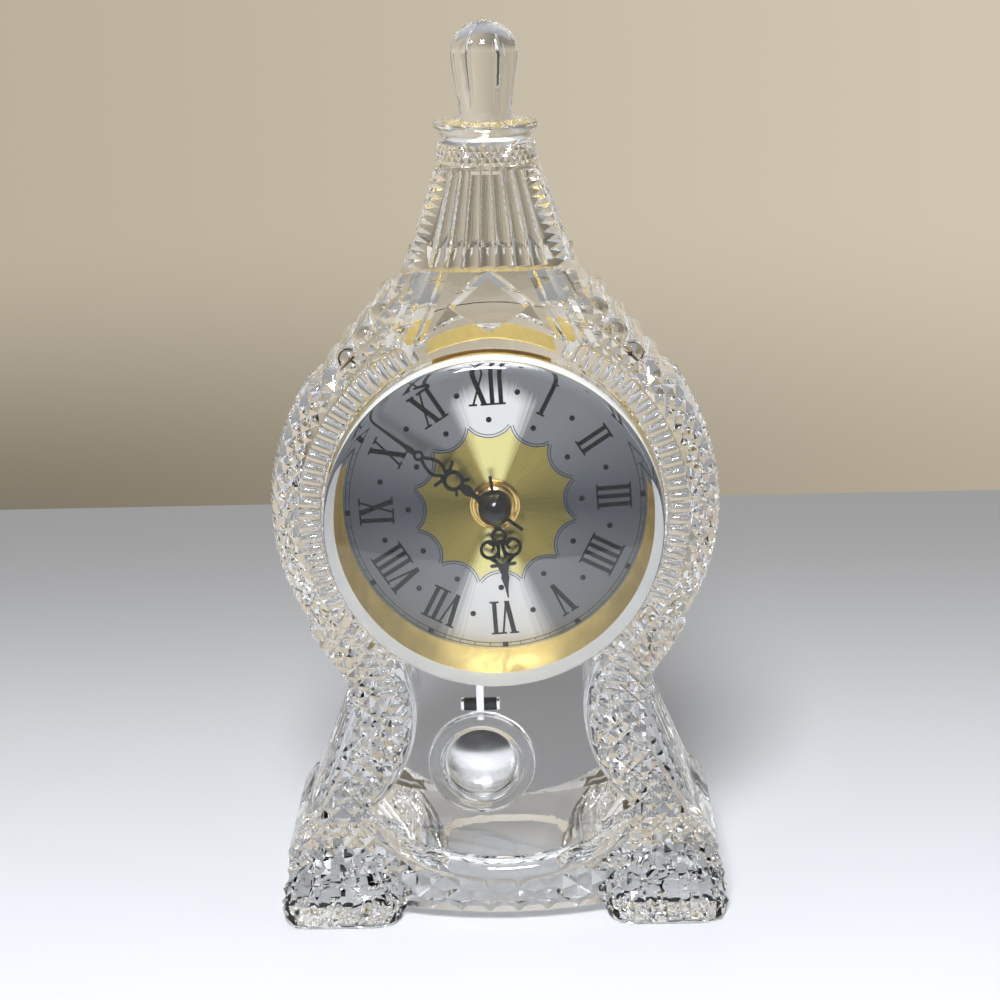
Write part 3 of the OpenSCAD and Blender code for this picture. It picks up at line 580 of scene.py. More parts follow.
def face_rib(inner, outer, narrow, wide):
    """A round-ended rib that lies on the front face, from radius inner to outer."""
    bm = cone((inner, front_y + 0.2, 0), (outer, front_y + 0.2, 0), narrow, wide, 12)
    return softened(bm, edges_across(bm, 0), 0.9, 2)


def rib_band():
    """Ribs that lie radially on the drum's face, left out over the dial and over the bay."""
    angles = [360 * (i + 0.5) / rib_count for i in range(rib_count)]
    shown = [a for a in angles if abs(a - 90) > 22 and abs(a - 270) > 40]
    return repeated(lambda: face_rib(rib_inner_r, rib_outer_r, 1.62, 1.82), round_drum(shown))


def waist_ribs(side):
    """Short ribs that carry the band on down the inner edge of a support."""
    centre = to(side * (bay_half + waist_r), 0, waist_z)
    angles = [146 + 5.2 * k for k in range(5)] if side > 0 else [34 - 5.2 * k for k in range(5)]
    places = [centre @ round_y(-angle) for angle in angles]
    return repeated(lambda: face_rib(35.5, 40.6, 1.45, 1.6), places)


def bar(radius, y0, y1, softness):
    """A bar from front to back at the origin, with rounded, pointed ends."""
    bm = cone((0, y0, 0), (0, y1, 0), radius, radius, 16)
    softened(bm, edges_across(bm, 1), softness, 3)
    tips = [face for face in bm.faces if abs(face.normal.y) > 0.99]
    bmesh.ops.poke(bm, faces=tips, offset=radius * 0.35)
    return ordered(bm)


def shoulder_steps():
    """Large scallops that step up both shoulders to the foot of the neck."""
    centres = [(59.6, 171.8), (55.0, 178.8), (49.8, 185.6), (44.4, 192.4), (38.9, 199.2), (32.9, 206.4)]
    return repeated(lambda: bar(step_r, front_y + 6, 22, 1.8),
                    [to(side * x, 0, z) for side in (-1, 1) for x, z in centres])


def waist_bumps():
    """Small scallops down the outer edge of both supports, in sets that don't touch each other."""
    centres = [(58.6, 102.2), (56.2, 98.6), (53.6, 94.8), (51.2, 91.0), (49.2, 87.0), (47.9, 82.8),
               (47.2, 78.6)]
    return [repeated(lambda: bar(bump_r, front_y + 2, 29, 1.2),
                     [to(side * (x - 0.8), 0, z) for x, z in centres[first::2]])
            for first in (0, 1) for side in (-1, 1)]


def shoulder():
    """The block that carries the neck: plain in the middle, cut in diamonds at both sides."""
    outline = [(-29.5, 213), (-27, 220.5), (27, 220.5), (29.5, 213), (40.5, 199), (47.5, 190),
               (40, 181.5), (-40, 181.5), (-47.5, 190), (-40.5, 199)]
    bm = prism(outline, front_y + 3, rear_y - 0.4)
    softened(bm, edges_across(bm, 1), 1.5, 2)
    face = prism(outline, front_y - 0.4, front_y + 5)
    fields = [moved(plaque(28, 42, 5, 8, 5, 1.5), to(side * 35, front_y - 0.1, 199))
              for side in (-1, 1)]
    fields = common(prism(outline, -30, 0), merged(fields))
    face_r = rib_outer_r + 0.5
    drum_face = at_hands(cone((0, -40, 0), (0, 0, 0), face_r, face_r, 144))
    return fused(bm, added=[fused(face, added=[fields], removed=[drum_face])])


def neck_fluting(turn, depth_low, depth_top, count, sink=0.2):
    """Hollow flutes down one face of the neck."""
    parts = []
    for i in range(-count, count + 1):
        low = (i * 5.4, -depth_low + sink, neck_z + 1.2)
        top = (i * 3.3, -depth_top + sink, neck_z + neck_h - 0.8)
        parts.append(cone(low, top, 2.45, 1.5, 16))
    return at_middle(moved(merged(parts), Matrix.Rotation(turn, 4, "Z")))


def neck():
    """The four-sided neck: fluted faces between corner strips cut in points."""
    foot_z = neck_z - 2
    head_z = neck_z + neck_h + 0.5
    low = prism([(-neck_low, foot_z), (-neck_top, head_z), (neck_top, head_z), (neck_low, foot_z)],
                -30, 30)
    side = prism([(-neck_depth_low, foot_z), (-neck_depth_top, head_z), (neck_depth_top, head_z),
                  (neck_depth_low, foot_z)], -40, 40)
    bm = common(low, moved(side, Matrix.Rotation(pi / 2, 4, "Z")))
    softened(bm, edges_along(bm, 2, 10), 5.0, 1)
    rows_across(bm, 2, [foot_z + 2.7 * i for i in range(1, 13)])
    strips = [face for face in bm.faces if abs(face.normal.x) > 0.3 and abs(face.normal.y) > 0.3]
    bmesh.ops.poke(bm, faces=strips, offset=1.1)
    flutes = [neck_fluting(0, neck_depth_low, neck_depth_top, 3),
              neck_fluting(pi, neck_depth_low, neck_depth_top, 3, -1.4),
              neck_fluting(pi / 2, neck_low, neck_top, 2),
              neck_fluting(-pi / 2, neck_low, neck_top, 2)]
    return fused(at_middle(ordered(bm)), removed=flutes)


def collar():
    """The ring on the neck: a band cut in points under a flared, domed lip."""
    steps = [(0, -2), (14.6, -2), (15.2, 0), (15.2, 3.4), (15.0, 6.8), (13.9, 7.8), (14.4, 9.2),
             (16.4, 11.0), (17.0, 12.0), (16.4, 13.0), (13.0, 13.2), (0, 13.2)]
    bm = spun([(r, collar_z + up) for r, up in steps], "Z", 36)
    cut = [face for face in bm.faces if collar_z < face.calc_center_median().z < collar_z + 6.8
           and abs(face.normal.z) < 0.3]
    return at_middle(diamond_cut(bm, cut, 0.7))


def plaque(width, height, columns, rows, depth, relief, both=False):
    """A slab in x and z whose front, and rear if asked, is cut in diamonds."""
    bm = bmesh.new()
    upright = Matrix.Rotation(pi / 2, 4, "X") @ Matrix.Diagonal((width, height, 1, 1))
    bmesh.ops.create_grid(bm, x_segments=columns, y_segments=rows, size=0.5, matrix=upright)
    pulled(bm, bm.faces[:], (0, depth, 0))
    if relief:
        diamond_cut(bm, [face for face in bm.faces if face.normal.y < -0.9], relief)
        if both:
            diamond_cut(bm, [face for face in bm.faces if face.normal.y > 0.9], relief)
    return bm


def support(side):
    """One support from drum to base. Its diamond-cut front and rear lean out at the foot."""
    outer = [(36, 106), (61, 104), (55, 94), (50, 87), (47.6, 80), (47.2, 70), (49, 61), (53, 52),
             (61, 38), (68, 32.5), (71.5, 27), (71.5, 18.5), (22, 18.5), (22, 60)]
    outline = prism([(side * x, z) for x, z in outer], -40, 50)
    bm = plaque(56, 98, 8, 14, rear_y - front_y - 1.6, 1.5, True)
    moved(bm, to(side * 46, front_y + 0.8, 63))
    for vert in bm.verts:
        low = min(max((62 - vert.co.z) / 36, 0), 1)
        lean = 3.4 * low * low * (3 - 2 * low)
        vert.co.y += lean * 0.8 if vert.co.y > middle_y else -lean
    return common(outline, bm)


def wing(side):
    """One side panel of upright reeds that leans out from the waist to the base."""
    outline = [(43, 74), (48.5, 74), (51.5, 68), (57.6, 50), (64.5, 30), (43, 30)]
    core = prism([(side * x, z) for x, z in outline], -11, 23)
    reeds = []
    for i in range(-3, 4):
        y = middle_y + 5.0 * i
        reed = cone((side * 49.5, y, 72.5 - 0.3 * i * i), (side * 66.0, y, 29), 2.35, 2.6, 16)
        ends = [edge for edge in reed.edges if edge.calc_length() < 1.2]
        reeds.append(softened(reed, ends, 1.0, 2))
    return fused(core, added=[merged(reeds)])


def base():
    """The plinth between supports and feet. Its ends are cut in diamonds."""
    outline = [(-70.5, 18), (-71.6, 23), (-70.5, 28), (-66, 31),
               (66, 31), (70.5, 28), (71.6, 23), (70.5, 18)]
    bm = prism(outline, -20, 32)
    rows_across(bm, 1, [-20 + 6.5 * i for i in range(1, 8)])
    ends = [face for face in bm.faces if abs(face.normal.x) > 0.8]
    return diamond_cut(bm, ends, 0.9)


def foot(sx, sy):
    """One wide, round-cornered foot that flares to the ground. The sides of a front foot are pressed in
    shallow points.
    """
    top_z = foot_h + 4
    at_x = sx * foot_x
    at_y = middle_y + sy * foot_y
    bm = bmesh.new()
    place = at_foot(sx, sy, top_z / 2) @ Matrix.Diagonal((foot_w, foot_d, top_z, 1))
    bmesh.ops.create_cube(bm, size=1, matrix=place)
    softened(bm, edges_along(bm, 2, 3), 9.0, 5)
    rows_across(bm, 2, [1.2, 4.4, 8.0, 11.6, 15.2, 18.8])
    rows_across(bm, 0, [at_x + 3.9 * (i - 2) for i in range(5)])
    rows_across(bm, 1, [at_y + 3.6 * (i - 0.5) for i in range(2)])
    sides = [face for face in bm.faces if abs(face.normal.z) < 0.3 and face.calc_center_median().z > 1.2]
    # The cuts leave only the order of the first six to chance
    sides[:6] = sorted(sides[:6], key=lambda face: face.calc_center_median()[:])
    for vert in bm.verts:
        lean = 1.0 if vert.co.z < 0.1 else 6.5 * (vert.co.z / top_z) ** 1.6
        out_x = (vert.co.x - at_x) / (foot_w / 2)
        out_y = (vert.co.y - at_y) / (foot_d / 2)
        vert.co.x -= out_x * lean * (0.75 if out_x * sx > 0 else 1.0)
        vert.co.y -= out_y * lean * (0.85 if out_y * sy > 0 else 0.0)
    bm.normal_update()
    if sy < 0:
        points = bmesh.ops.poke(bm, faces=sides, offset=0.5)["verts"]
        for k, point in enumerate(points):
            point.co += point.normal * (0.55 * sin(k * 2.4) + 0.2)
            point.co.z += 0.8 * sin(k * 1.7)
            point.co.x += 0.8 * sin(k * 3.1)
    return ordered(bm)


def foot_sole(sx, sy):
    """A field of points pressed into the underside of a foot."""
    bm = plaque(foot_w - 9, foot_d - 9, 6, 3, 3, 2.0)
    moved(bm, Matrix.Rotation(-pi / 2, 4, "X"))
    return moved(bm, at_foot(sx, sy, 0.6))


def at_smile(outline):
    """Spins an outline about the axis that the bay's curved floor lies round."""
    return moved(spun(outline, "Y", 128), to(0, 0, smile_z))


def apron(sy):
    """The bowed panel between two feet. The front one is cut in diamonds."""
    bm = plaque(88, 17, 9, 2, 7, 2.6 if sy < 0 else 0)
    for vert in bm.verts:
        vert.co.y += vert.co.x ** 2 / 260
        vert.co.z += 12.8 + vert.co.x ** 2 / 1500
    place = to(0, middle_y + sy * 31.0, 0)
    if sy > 0:
        place = place @ Matrix.Rotation(pi, 4, "Z")
    under_r = smile_r + lip_half
    under_lip = at_smile([(0, -60), (under_r, -60), (under_r, 60), (0, 60)])
    return fused(moved(bm, place), removed=[under_lip])


def front_lip():
    """The smooth rounded lip along the front of the bay's floor."""
    turns = [2 * pi * i / 20 for i in range(20)]
    ring = at_smile([(smile_r + lip_half * (1 - cos(turn)), -22.9 + lip_half * sin(turn))
                     for turn in turns])
    return common(ring, block((-42, -40, 10), (42, 0, 46)))


def bay_cutter():
    """The open bay with its front and rear edges flared smoothly."""
    floor = at_smile([(0, -60), (smile_r, -60), (smile_r, 28), (60.2, 32.5), (62.6, 35.5), (66, 39),
                      (66, 70), (0, 70)])
    shape = [(0, -62), (40.2, -62), (40.2, -21.2), (42.2, -20.2), (44.6, -18.2), (waist_r - 0.2, -15.8),
             (waist_r, -14), (waist_r, 27), (waist_r - 0.2, 28.5), (44.6, 30.6), (42.2, 32.2),
             (40.2, 33.2), (40.2, 72), (0, 72)]
    waists = [moved(spun(shape, "Y", 128), to(side * (bay_half + waist_r), 0, waist_z))
              for side in (-1, 1)]
    return fused(floor, removed=waists)


def bore_cutter():
    """The round hole for the insert, with a fine bevel at both ends."""
    wide_r = bore_r + 0.8
    outline = [(0, -40), (wide_r, -40), (wide_r, front_y - 0.2), (bore_r, front_y + 0.8),
               (bore_r, rear_y - 0.8), (wide_r, rear_y + 0.2), (wide_r, 50), (0, 50)]
    return at_hands(spun(outline, "Y", 192))


def groove(start, end, half_width, depth):
    """A V cut in the shoulder's face along a line of (x, z) points."""
    along = Vector((end[0] - start[0], 0, end[1] - start[1]))
    across = Vector((along.z, 0, -along.x)).normalized() * half_width * 1.2
    first = Vector((start[0], front_y - 0.4 - 0.2 * depth, start[1]))
    bm = bmesh.new()
    corners = [first - across, first + across, first + Vector((0, depth * 1.2, 0))]
    face = bm.faces.new([bm.verts.new(corner) for corner in corners])
    return pulled(bm, [face], along)


def sloping_facet():
    """The facet over the dial that falls back upwards and leaves the four-pointed star standing."""
    low = 196.2
    bm = prism([(-21.5, low), (-12.5, 210.5), (12.5, 210.5), (21.5, low)], -30, front_y - 0.7)
    for vert in bm.verts:
        if vert.co.y > -25:
            vert.co.y += (vert.co.z - low) * 0.24
    return fused(bm, removed=[prism([(0, 201), (12.4, 209.4), (0, 219.5), (-12.4, 209.4)], -40, 0)])


def shoulder_cuts():
    """The four-pointed star cut over the dial and the deep cuts at both sides of it."""
    cuts = [sloping_facet()]
    for side in (-1, 1):
        cuts.append(groove((0, 220.5), (side * 13.5, 209), 1.5, 1.5))
        cuts.append(groove((side * 17, 222), (side * 28, 196), 3.2, 3.6))
        cuts.append(groove((side * 21.5, 221), (side * 33, 198), 1.8, 2.2))
        cuts.append(groove((side * 13.5, 221), (side * 22, 199), 1.4, 1.6))
    return cuts


def crystal_body():
    """The whole casting, joined to one solid and then cut."""
    soles = [foot_sole(sx, sy) for sx in (-1, 1) for sy in (-1, 1)]
    added = [rib_band(), shoulder(), shoulder_steps(), neck(), collar(), support(-1), support(1),
             waist_ribs(-1), waist_ribs(1), *waist_bumps(), wing(-1), wing(1), base(), front_lip(),
             foot(-1, -1), foot(1, -1), foot(-1, 1), foot(1, 1), apron(-1), apron(1)]
    removed = [bore_cutter(), bay_cutter(), *shoulder_cuts(), *soles]
    bm = fused(drum(), added, removed)
    piece("crystal", bm, "case", cut_crystal, "cut_crystal", "crystal_body", smooth_to=28)


crystal_body()


# The finial, lens and dial

def finial():
    """The bullet on the neck, hollowed a little along eight lines."""
    steps = [(0, 0.05), (8.0, 0.05), (8.5, 3.8), (9.5, 11.3), (10.3, 16.9), (finial_r, 20.6), (10.1, 24.1),
             (8.5, 26.9), (6.0, 29.0), (3.0, 30.3), (0.9, 30.7), (0.5, finial_h), (0, finial_h)]
    bm = spun([(r, finial_z + up) for r, up in steps], "Z", 64)
    for vert in bm.verts:
        if vert.co.z > finial_z + 0.5 and Vector((vert.co.x, vert.co.y)).length > 1:
            lobe = abs(cos(4 * atan2(vert.co.y, vert.co.x)))
            hollow = 1 - 0.07 * (1 - lobe ** 0.35)
            vert.co.x *= hollow
            vert.co.y *= hollow
    piece("finial_glass", at_middle(bm), "case", cut_crystal, "cut_crystal", "finial", smooth_to=40)


finial()


def lens():
    """A thick dome that curves in quickly at its rim. Its side and the rim of its back are ground."""
    dome_r = (bevel_r ** 2 + dome_rise ** 2) / (2 * dome_rise)
    radii = [bevel_r * i / 14 for i in range(15)]
    outline = [(r, lens_apex + dome_r - sqrt(dome_r ** 2 - r ** 2)) for r in radii]
    outline += [(50.3, -33.46), (51.5, -33.1), (52.5, -32.5), (53.2, -31.7), (lens_r, lens_rim + 2.0),
                (lens_r, lens_back - 0.6), (lens_r - 0.6, lens_back), (49.6, lens_back), (0, lens_back)]
    bm = spun(outline, "Y", 144)
    for face in bm.faces:
        middle = face.calc_center_median()
        if off_axis(middle) > 49.6 and middle.y > lens_rim + 2.0:
            face.material_index = 1
    thing = piece("lens_dome", at_hands(bm), "case", lens_glass, "lens_glass", "lens")
    thing.data.materials.append(ground_glass)


lens()


# The dial

# The printing starts just inside the dial and stands proud of it by a hair
print_back = dial_y + 0.02
line_y = dial_y - 0.08
dot_y = dial_y - 0.09
numeral_y = dial_y - 0.1
line_half = 0.09

# The star in the middle is a disc with twelve round bites
star_r = 23.9
star_dip = 20.3
scoop_far = 28.6
scoop_r = scoop_far - star_dip
scoops = [round_y(30 * i) @ to(0, 0, scoop_far) for i in range(12)]

# The minute track and the numerals
track_inner_r = 43.9
track_outer_r = 45.1
dot_r = 0.85
numeral_low = 30.4
numeral_high = 41.0
serif_half = 0.28
letter_wide = {"I": 2.6, "V": 5.1, "X": 5.5}
roman = {1: "I", 2: "II", 3: "III", 4: "IIII", 5: "V", 6: "VI", 7: "VII", 8: "VIII", 9: "IX", 10: "X",
         11: "XI", 12: "XII"}


def turned(angle):
    """A place turned clockwise from 12 by degrees, on the slightly turned insert."""
    return to(0, 0, hands_z) @ Matrix.Rotation(radians(angle) - insert_turn, 4, "Y")


def band(inner, outer, y0, y1, steps=96):
    """A flat ring round the Y axis."""
    return spun([(inner, y0), (outer, y0), (outer, y1), (inner, y1)], "Y", steps)


def pad(middle, half_angle, y0, y1):
    """A curved pad on the wall of the bore, about an angle turned from the right-hand side upwards."""
    inner_r = bore_r - 0.35
    outer_r = bore_r + 0.12
    bm = bmesh.new()
    corners = [(inner_r, y0), (outer_r, y0 + 0.4), (outer_r, y1 - 0.4), (inner_r, y1)]
    face = bm.faces.new([bm.verts.new((r, y, 0)) for r, y in corners])
    bmesh.ops.spin(bm, geom=[face], cent=(0, 0, 0), axis=(0, 1, 0), dvec=(0, 0, 0),
                   angle=radians(2 * half_angle), steps=max(4, round(half_angle)), use_merge=False)
    return moved(ordered(bm), round_y(-middle - half_angle))


def gold_cup():
    """The cup that carries the dial, with a rounded front lip."""
    outline = [(51.6, -21.9), (52.6, -21.7), (52.9, -21.2), (52.9, -19), (52.4, -19), (52.4, 12),
               (51.8, 12), (51.8, -1.7), (4.05, -1.7), (4.05, -2.9), (50.1, -2.9), (50.1, -3.58),
               (45.9, -3.58), (45.9, -3.8), (46.8, -5.2), (48.0, -8.4), (49.2, -12.6), (50.2, -17.2),
               (50.9, -21.5), (51.2, -21.9)]
    piece("gold_cup", at_hands(spun(outline, "Y", 144)), "case", cup_gold, "gold_metal", "dial_case")


def gold_pads():
    """The places where the gold sleeve bears on the glass, which show as gold crescents through it."""
    parts = [pad(90, 22, -2, 18)]
    parts += [pad(middle, 6.5, -12, -3) for middle in (21, 38, 56, 124, 142, 159)]
    piece("gold_pads", at_hands(merged(parts)), "case", cup_gold, "gold_metal")


def dial_face():
    """The silver disc with a softened edge."""
    outline = [(dial_hole_r, dial_y), (dial_r - 0.25, dial_y), (dial_r, dial_y + 0.2), (dial_r, -2.9),
               (dial_hole_r, -2.9)]
    piece("dial_face", at_hands(spun(outline, "Y", 144)), "case", dial_silver, "dial_silver", "dial")


def star():
    """The twelve-pointed centre: a disc with twelve round bites."""
    disc = band(dial_hole_r, star_r, dot_y, print_back)
    bites = [moved(spun([(0, -6), (scoop_r, -6), (scoop_r, 0), (0, 0)], "Y", 64), place)
             for place in scoops]
    piece("star", moved(fused(disc, removed=bites), turned(0)), "case", dial_gold, "gold_metal")


def stroke(x0, x1, half_width):
    """One slanting or upright stroke of a numeral from its foot to its head."""
    return prism([(x0 - half_width, numeral_low), (x1 - half_width, numeral_high),
                  (x1 + half_width, numeral_high), (x0 + half_width, numeral_low)], numeral_y, print_back)


def serif(x, z, half_width):
    """The short bar at the end of a stroke."""
    return prism([(x - half_width, z - serif_half), (x + half_width, z - serif_half),
                  (x + half_width, z + serif_half), (x - half_width, z + serif_half)],
                 numeral_y, print_back)


def numeral(letters):
    """A Roman numeral whose head points outwards."""
    foot = numeral_low + serif_half
    head = numeral_high - serif_half
    x = -sum(letter_wide[letter] for letter in letters) / 2
    parts = []
    for letter in letters:
        wide = letter_wide[letter]
        middle = x + wide / 2
        if letter == "I":
            parts.append(stroke(middle, middle, 0.66))
            parts.append(serif(middle, foot, 1.35))
            parts.append(serif(middle, head, 1.35))
        elif letter == "V":
            parts.append(stroke(middle + 0.1, middle - wide * 0.33, 0.74))
            parts.append(stroke(middle + 0.25, middle + wide * 0.33, 0.32))
            parts.append(serif(middle - wide * 0.33, head, 1.35))
            parts.append(serif(middle + wide * 0.33, head, 1.1))
        else:
            parts.append(stroke(middle + wide * 0.32, middle - wide * 0.32, 0.78))
            parts.append(stroke(middle - wide * 0.32, middle + wide * 0.32, 0.32))
            for side in (-1, 1):
                parts.append(serif(middle + side * wide * 0.32, foot, 1.25))
                parts.append(serif(middle + side * wide * 0.32, head, 1.25))
        x += wide
    return merged(parts)


def dial_print():
    """Numerals, dots, minute track and the fine lines round the star."""
    parts = []
    for reach in (0.18, 0.95):
        arcs = repeated(lambda: band(scoop_r - reach - 0.2, scoop_r - reach, line_y, print_back, 64),
                        scoops)
        inside = band(10, star_r + 0.5 + reach * 0.6, dial_y - 1, dial_y + 1)
        parts.append(common(arcs, inside))
    for radius in (track_inner_r, track_outer_r):
        parts.append(band(radius - line_half, radius + line_half, line_y, print_back, 144))
    for minute in range(60):
        five = minute % 5 == 0
        wide = dot_r if five else line_half
        low = track_inner_r - (0.2 if five else 0)
        high = track_outer_r + (0.2 if five else 0)
        tick = prism([(-wide, low), (wide, low), (wide, high), (-wide, high)], dot_y, print_back)
        parts.append(moved(tick, round_y(6 * minute)))
    for i in range(12):
        for radius, angle in ((26.0, 30 * i), (35.0, 30 * i + 15)):
            dot = spun([(0, dot_y), (dot_r, dot_y), (dot_r, print_back), (0, print_back)], "Y", 20)
            place = round_y(angle) @ to(0, 0, radius)
            parts.append(moved(dot, place))
    for hour in range(1, 13):
        parts.append(moved(numeral(roman[hour]), round_y(30 * hour)))
    piece("dial_print", moved(merged(parts), turned(0)), "case", dial_ink, "black_lacquer")


def hub_metal():
    """The washer with its bright rolled rim and the round nut that holds the dial."""
    washer = [(4.03, -3.62), (4.03, -4.1), (6.7, -4.12), (7.1, -4.5), (7.45, -4.35), (7.6, -4.0),
              (7.6, -3.62)]
    piece("washer_rim", at_hands(spun(washer, "Y", 64)), "case", gold_metal, "gold_metal", "dial_washer")
    nut = [(4.02, -4.12), (4.02, -5.9), (4.4, -6.02), (5.4, -6.02), (6.0, -5.5), (6.2, -4.8),
           (6.2, -4.12)]
    piece("round_nut", at_hands(spun(nut, "Y", 64)), "case", gold_metal, "gold_metal", "hand_nut")


gold_cup()
gold_pads()
dial_face()
star()
dial_print()
hub_metal()


# The hands

# The middle planes of the two hands and half their thickness
hour_y = -7.2
minute_y = -8.7
hand_half = 0.25


def eye(x, z, outer, inner, y, steps=28):
    """A flat ring in a hand, with softened edges."""
    lip = 0.08
    outline = [(inner, y - hand_half + lip), (inner + lip, y - hand_half), (outer - lip, y - hand_half),
               (outer, y - hand_half + lip), (outer, y + hand_half), (inner, y + hand_half)]
    return moved(spun(outline, "Y", steps), to(x, 0, z))


def blade(y, *outline):
    """A symmetric blade from (half width, height) pairs."""
    right = [(w, z) for w, z in outline]
    left = [(-w, z) for w, z in reversed(outline)]
    return prism(right + left, y - hand_half, y + hand_half)


def strip(y, *path, width=0.9):
    """Flat links along a path of (x, z) points, rounded at every joint."""
    parts = []
    for (x0, z0), (x1, z1) in zip(path, path[1:]):
        along = Vector((x1 - x0, z1 - z0))
        side = Vector((-along.y, along.x)).normalized() * width / 2
        corners = [(x0 - side.x, z0 - side.y), (x1 - side.x, z1 - side.y), (x1 + side.x, z1 + side.y),
                   (x0 + side.x, z0 + side.y)]
        parts.append(prism(corners, y - hand_half, y + hand_half))
    for x, z in path:
        parts.append(eye(x, z, width / 2, 0.02, y, 12))
    return merged(parts)


def hour_hand():
    """A pierced hand: one small eye, two scrolls side by side, then a leaf and a needle."""
    y = hour_y
    parts = [eye(0, 0, 4.9, 2.61, y, 48), blade(y, (0.9, 4.4), (0.9, 6.6)), eye(0, 8.6, 2.4, 1.45, y)]
    for side in (-1, 1):
        parts.append(eye(side * 3.3, 12.6, 3.1, 2.1, y))
        parts.append(strip(y, (side * 3.3, 10.5), (side * 1.9, 11.6), (side * 2.6, 12.9), width=0.7))
        parts.append(strip(y, (side * 3.2, 15.5), (side * 2.0, 16.6), (side * 0.5, 18.8), width=1.1))
        parts.append(strip(y, (side * 0.6, 17.8), (side * 3.5, 17.8), width=1.0))
        parts.append(strip(y, (side * 0.4, 10.6), (side * 1.0, 15.2), width=0.9))
    parts.append(blade(y, (1.9, 17.6), (1.5, 19.2), (1.0, 20.6), (1.25, 22.0), (0.85, 23.4), (0.45, 25.4),
                       (0.22, 28.3)))
    parts.append(blade(y, (0.5, -10), (0.5, -4.4)))
    bm = moved(merged(parts), turned(30 * (hour_shown + minute_shown / 60)))
    piece("pierced_hour_hand", bm, "hour_group", black_lacquer, "black_lacquer", "hour_hand")


def minute_hand():
    """A longer pierced hand: two openings, a pointed crossbar, a small eye and a needle."""
    y = minute_y
    parts = [eye(0, 0, 4.9, 1.31, y, 48),
             blade(y, (1.6, 4.3), (0.85, 6.2), (0.8, 8.0), (1.6, 9.8), (1.3, 11.4), (0.9, 12.6)),
             eye(0, 15.3, 3.3, 2.1, y), eye(0, 28.3, 1.65, 0.8, y)]
    for side in (-1, 1):
        parts.append(strip(y, (side * 0.6, 18.6), (side * 2.2, 18.2), (side * 4.4, 18.9), width=1.0))
        parts.append(strip(y, (side * 0.7, 18.9), (side * 1.9, 20.6), (side * 2.2, 22.4),
                           (side * 1.6, 24.6), (side * 0.4, 26.8), width=0.95))
        parts.append(strip(y, (side * 2.2, 17.0), (side * 1.2, 18.4), width=1.1))
        parts.append(strip(y, (side * 2.1, 12.7), (side * 3.0, 11.9), width=0.9))
    parts.append(blade(y, (0.75, 29.6), (0.95, 31.6), (0.6, 33.6), (0.45, 40.0), (0.2, 48.0)))
    parts.append(blade(y, (0.5, -10.4), (0.5, -4.4)))
    bm = moved(merged(parts), turned(6 * minute_shown))
    piece("pierced_minute_hand", bm, "minute_group", black_lacquer, "black_lacquer", "minute_hand")


def hand_cap():
    """The glossy dome over the hands' axis."""
    outline = [(1.31, -8.45), (4.9, -8.45), (4.95, -8.95), (4.75, -9.9), (4.2, -11.2), (3.3, -12.3),
               (2.0, -13.05), (0.9, -13.32), (0, -13.36), (0, -9.3), (1.31, -9.3)]
    bm = spun(outline, "Y", 48)
    piece("dome_cap", at_hands(bm), "minute_group", cap_lacquer, "black_lacquer", "hand_cap")


hour_hand()
minute_hand()
hand_cap()


# The pendulum

def clip_block(x, half_width):
    """A block as high and deep as the clip on the rod."""
    return block((pend_x + x - half_width, 8.42, 63.2), (pend_x + x + half_width, 10.0, 67.6))


def at_bob(outline):
    """Spins an outline about the middle of the bob."""
    return moved(spun(outline, "Y", 96), to(pend_x, 0, bob_z))


def pendulum():
    """The strip, the dark clip with bright ends, the clear ring and the mirror in it."""
    rod = prism([(-1.3, 60.2), (1.3, 60.2), (1.3, 109.4), (0.9, 109.5), (-0.9, 109.5), (-1.3, 109.4)],
                7.6, 8.4)
    softened(rod, edges_along(rod, 2, 5), 0.15, 2)
    moved(rod, to(pend_x, 0, 0))
    piece("rod_strip", rod, "pendulum", rod_silver, "rod_silver", "pendulum_rod")
    clip = clip_block(0, 5.5)
    softened(clip, clip.edges[:], 0.35, 2)
    piece("clip_bar", clip, "pendulum", smoke_plastic, "smoke_plastic", "bob_clip")
    ends = [clip_block(side * 6.1, 0.6) for side in (-1, 1)]
    for end in ends:
        softened(end, end.edges[:], 0.3, 2)
    piece("clip_ends", merged(ends), "pendulum", rod_silver, "rod_silver")
    ring = [(13.1, 5.55), (13.5, 5.1), (14.1, 5.1), (14.5, 5.5), (bob_r - 1.4, 5.5), (bob_r - 0.5, 5.9),
            (bob_r, 6.9), (bob_r, 9.1), (bob_r - 0.5, 10.1), (bob_r - 1.4, 10.5), (0, 10.5), (0, 9.5),
            (13.1, 9.5)]
    piece("clear_ring", at_bob(ring), "pendulum", clear_acrylic, "clear_acrylic", "bob_ring")
    dish = [(0, 5.95), (2.6, 6.06), (5.2, 6.39), (7.8, 6.95), (10.4, 7.74), (12.0, 8.36), (12.5, 8.1),
            (12.95, 8.3), (12.95, 9.49), (0, 9.49)]
    piece("mirror_dish", at_bob(dish), "pendulum", mirror_silver, "mirror_silver", "bob_mirror",
          smooth_to=20)


pendulum()


# The works, as the CAD has them

finishes = {
    "gasket_ring": clear_vinyl, "movement_front": black_plastic, "movement_back": black_plastic,
    "mounting_bush": gold_metal, "minute_arbor": steel, "minute_wheel": nylon,
    "setting_knob": black_plastic, "hour_wheel": nylon, "centre_wheel": nylon, "third_wheel": nylon,
    "seconds_wheel": nylon, "idler_wheel": nylon, "rotor": magnet_steel, "stator": steel,
    "drive_coil": copper_wire, "circuit_board": board_green, "battery": cell_jacket,
    "battery_contacts": nickel, "pendulum_coil": copper_wire, "pivot_pin": steel,
    "pendulum_lever": nylon, "lever_magnet": magnet_steel,
}
for node, finish in finishes.items():
    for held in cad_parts[node].material_slots:
        held.material = finish


# The photograph's view

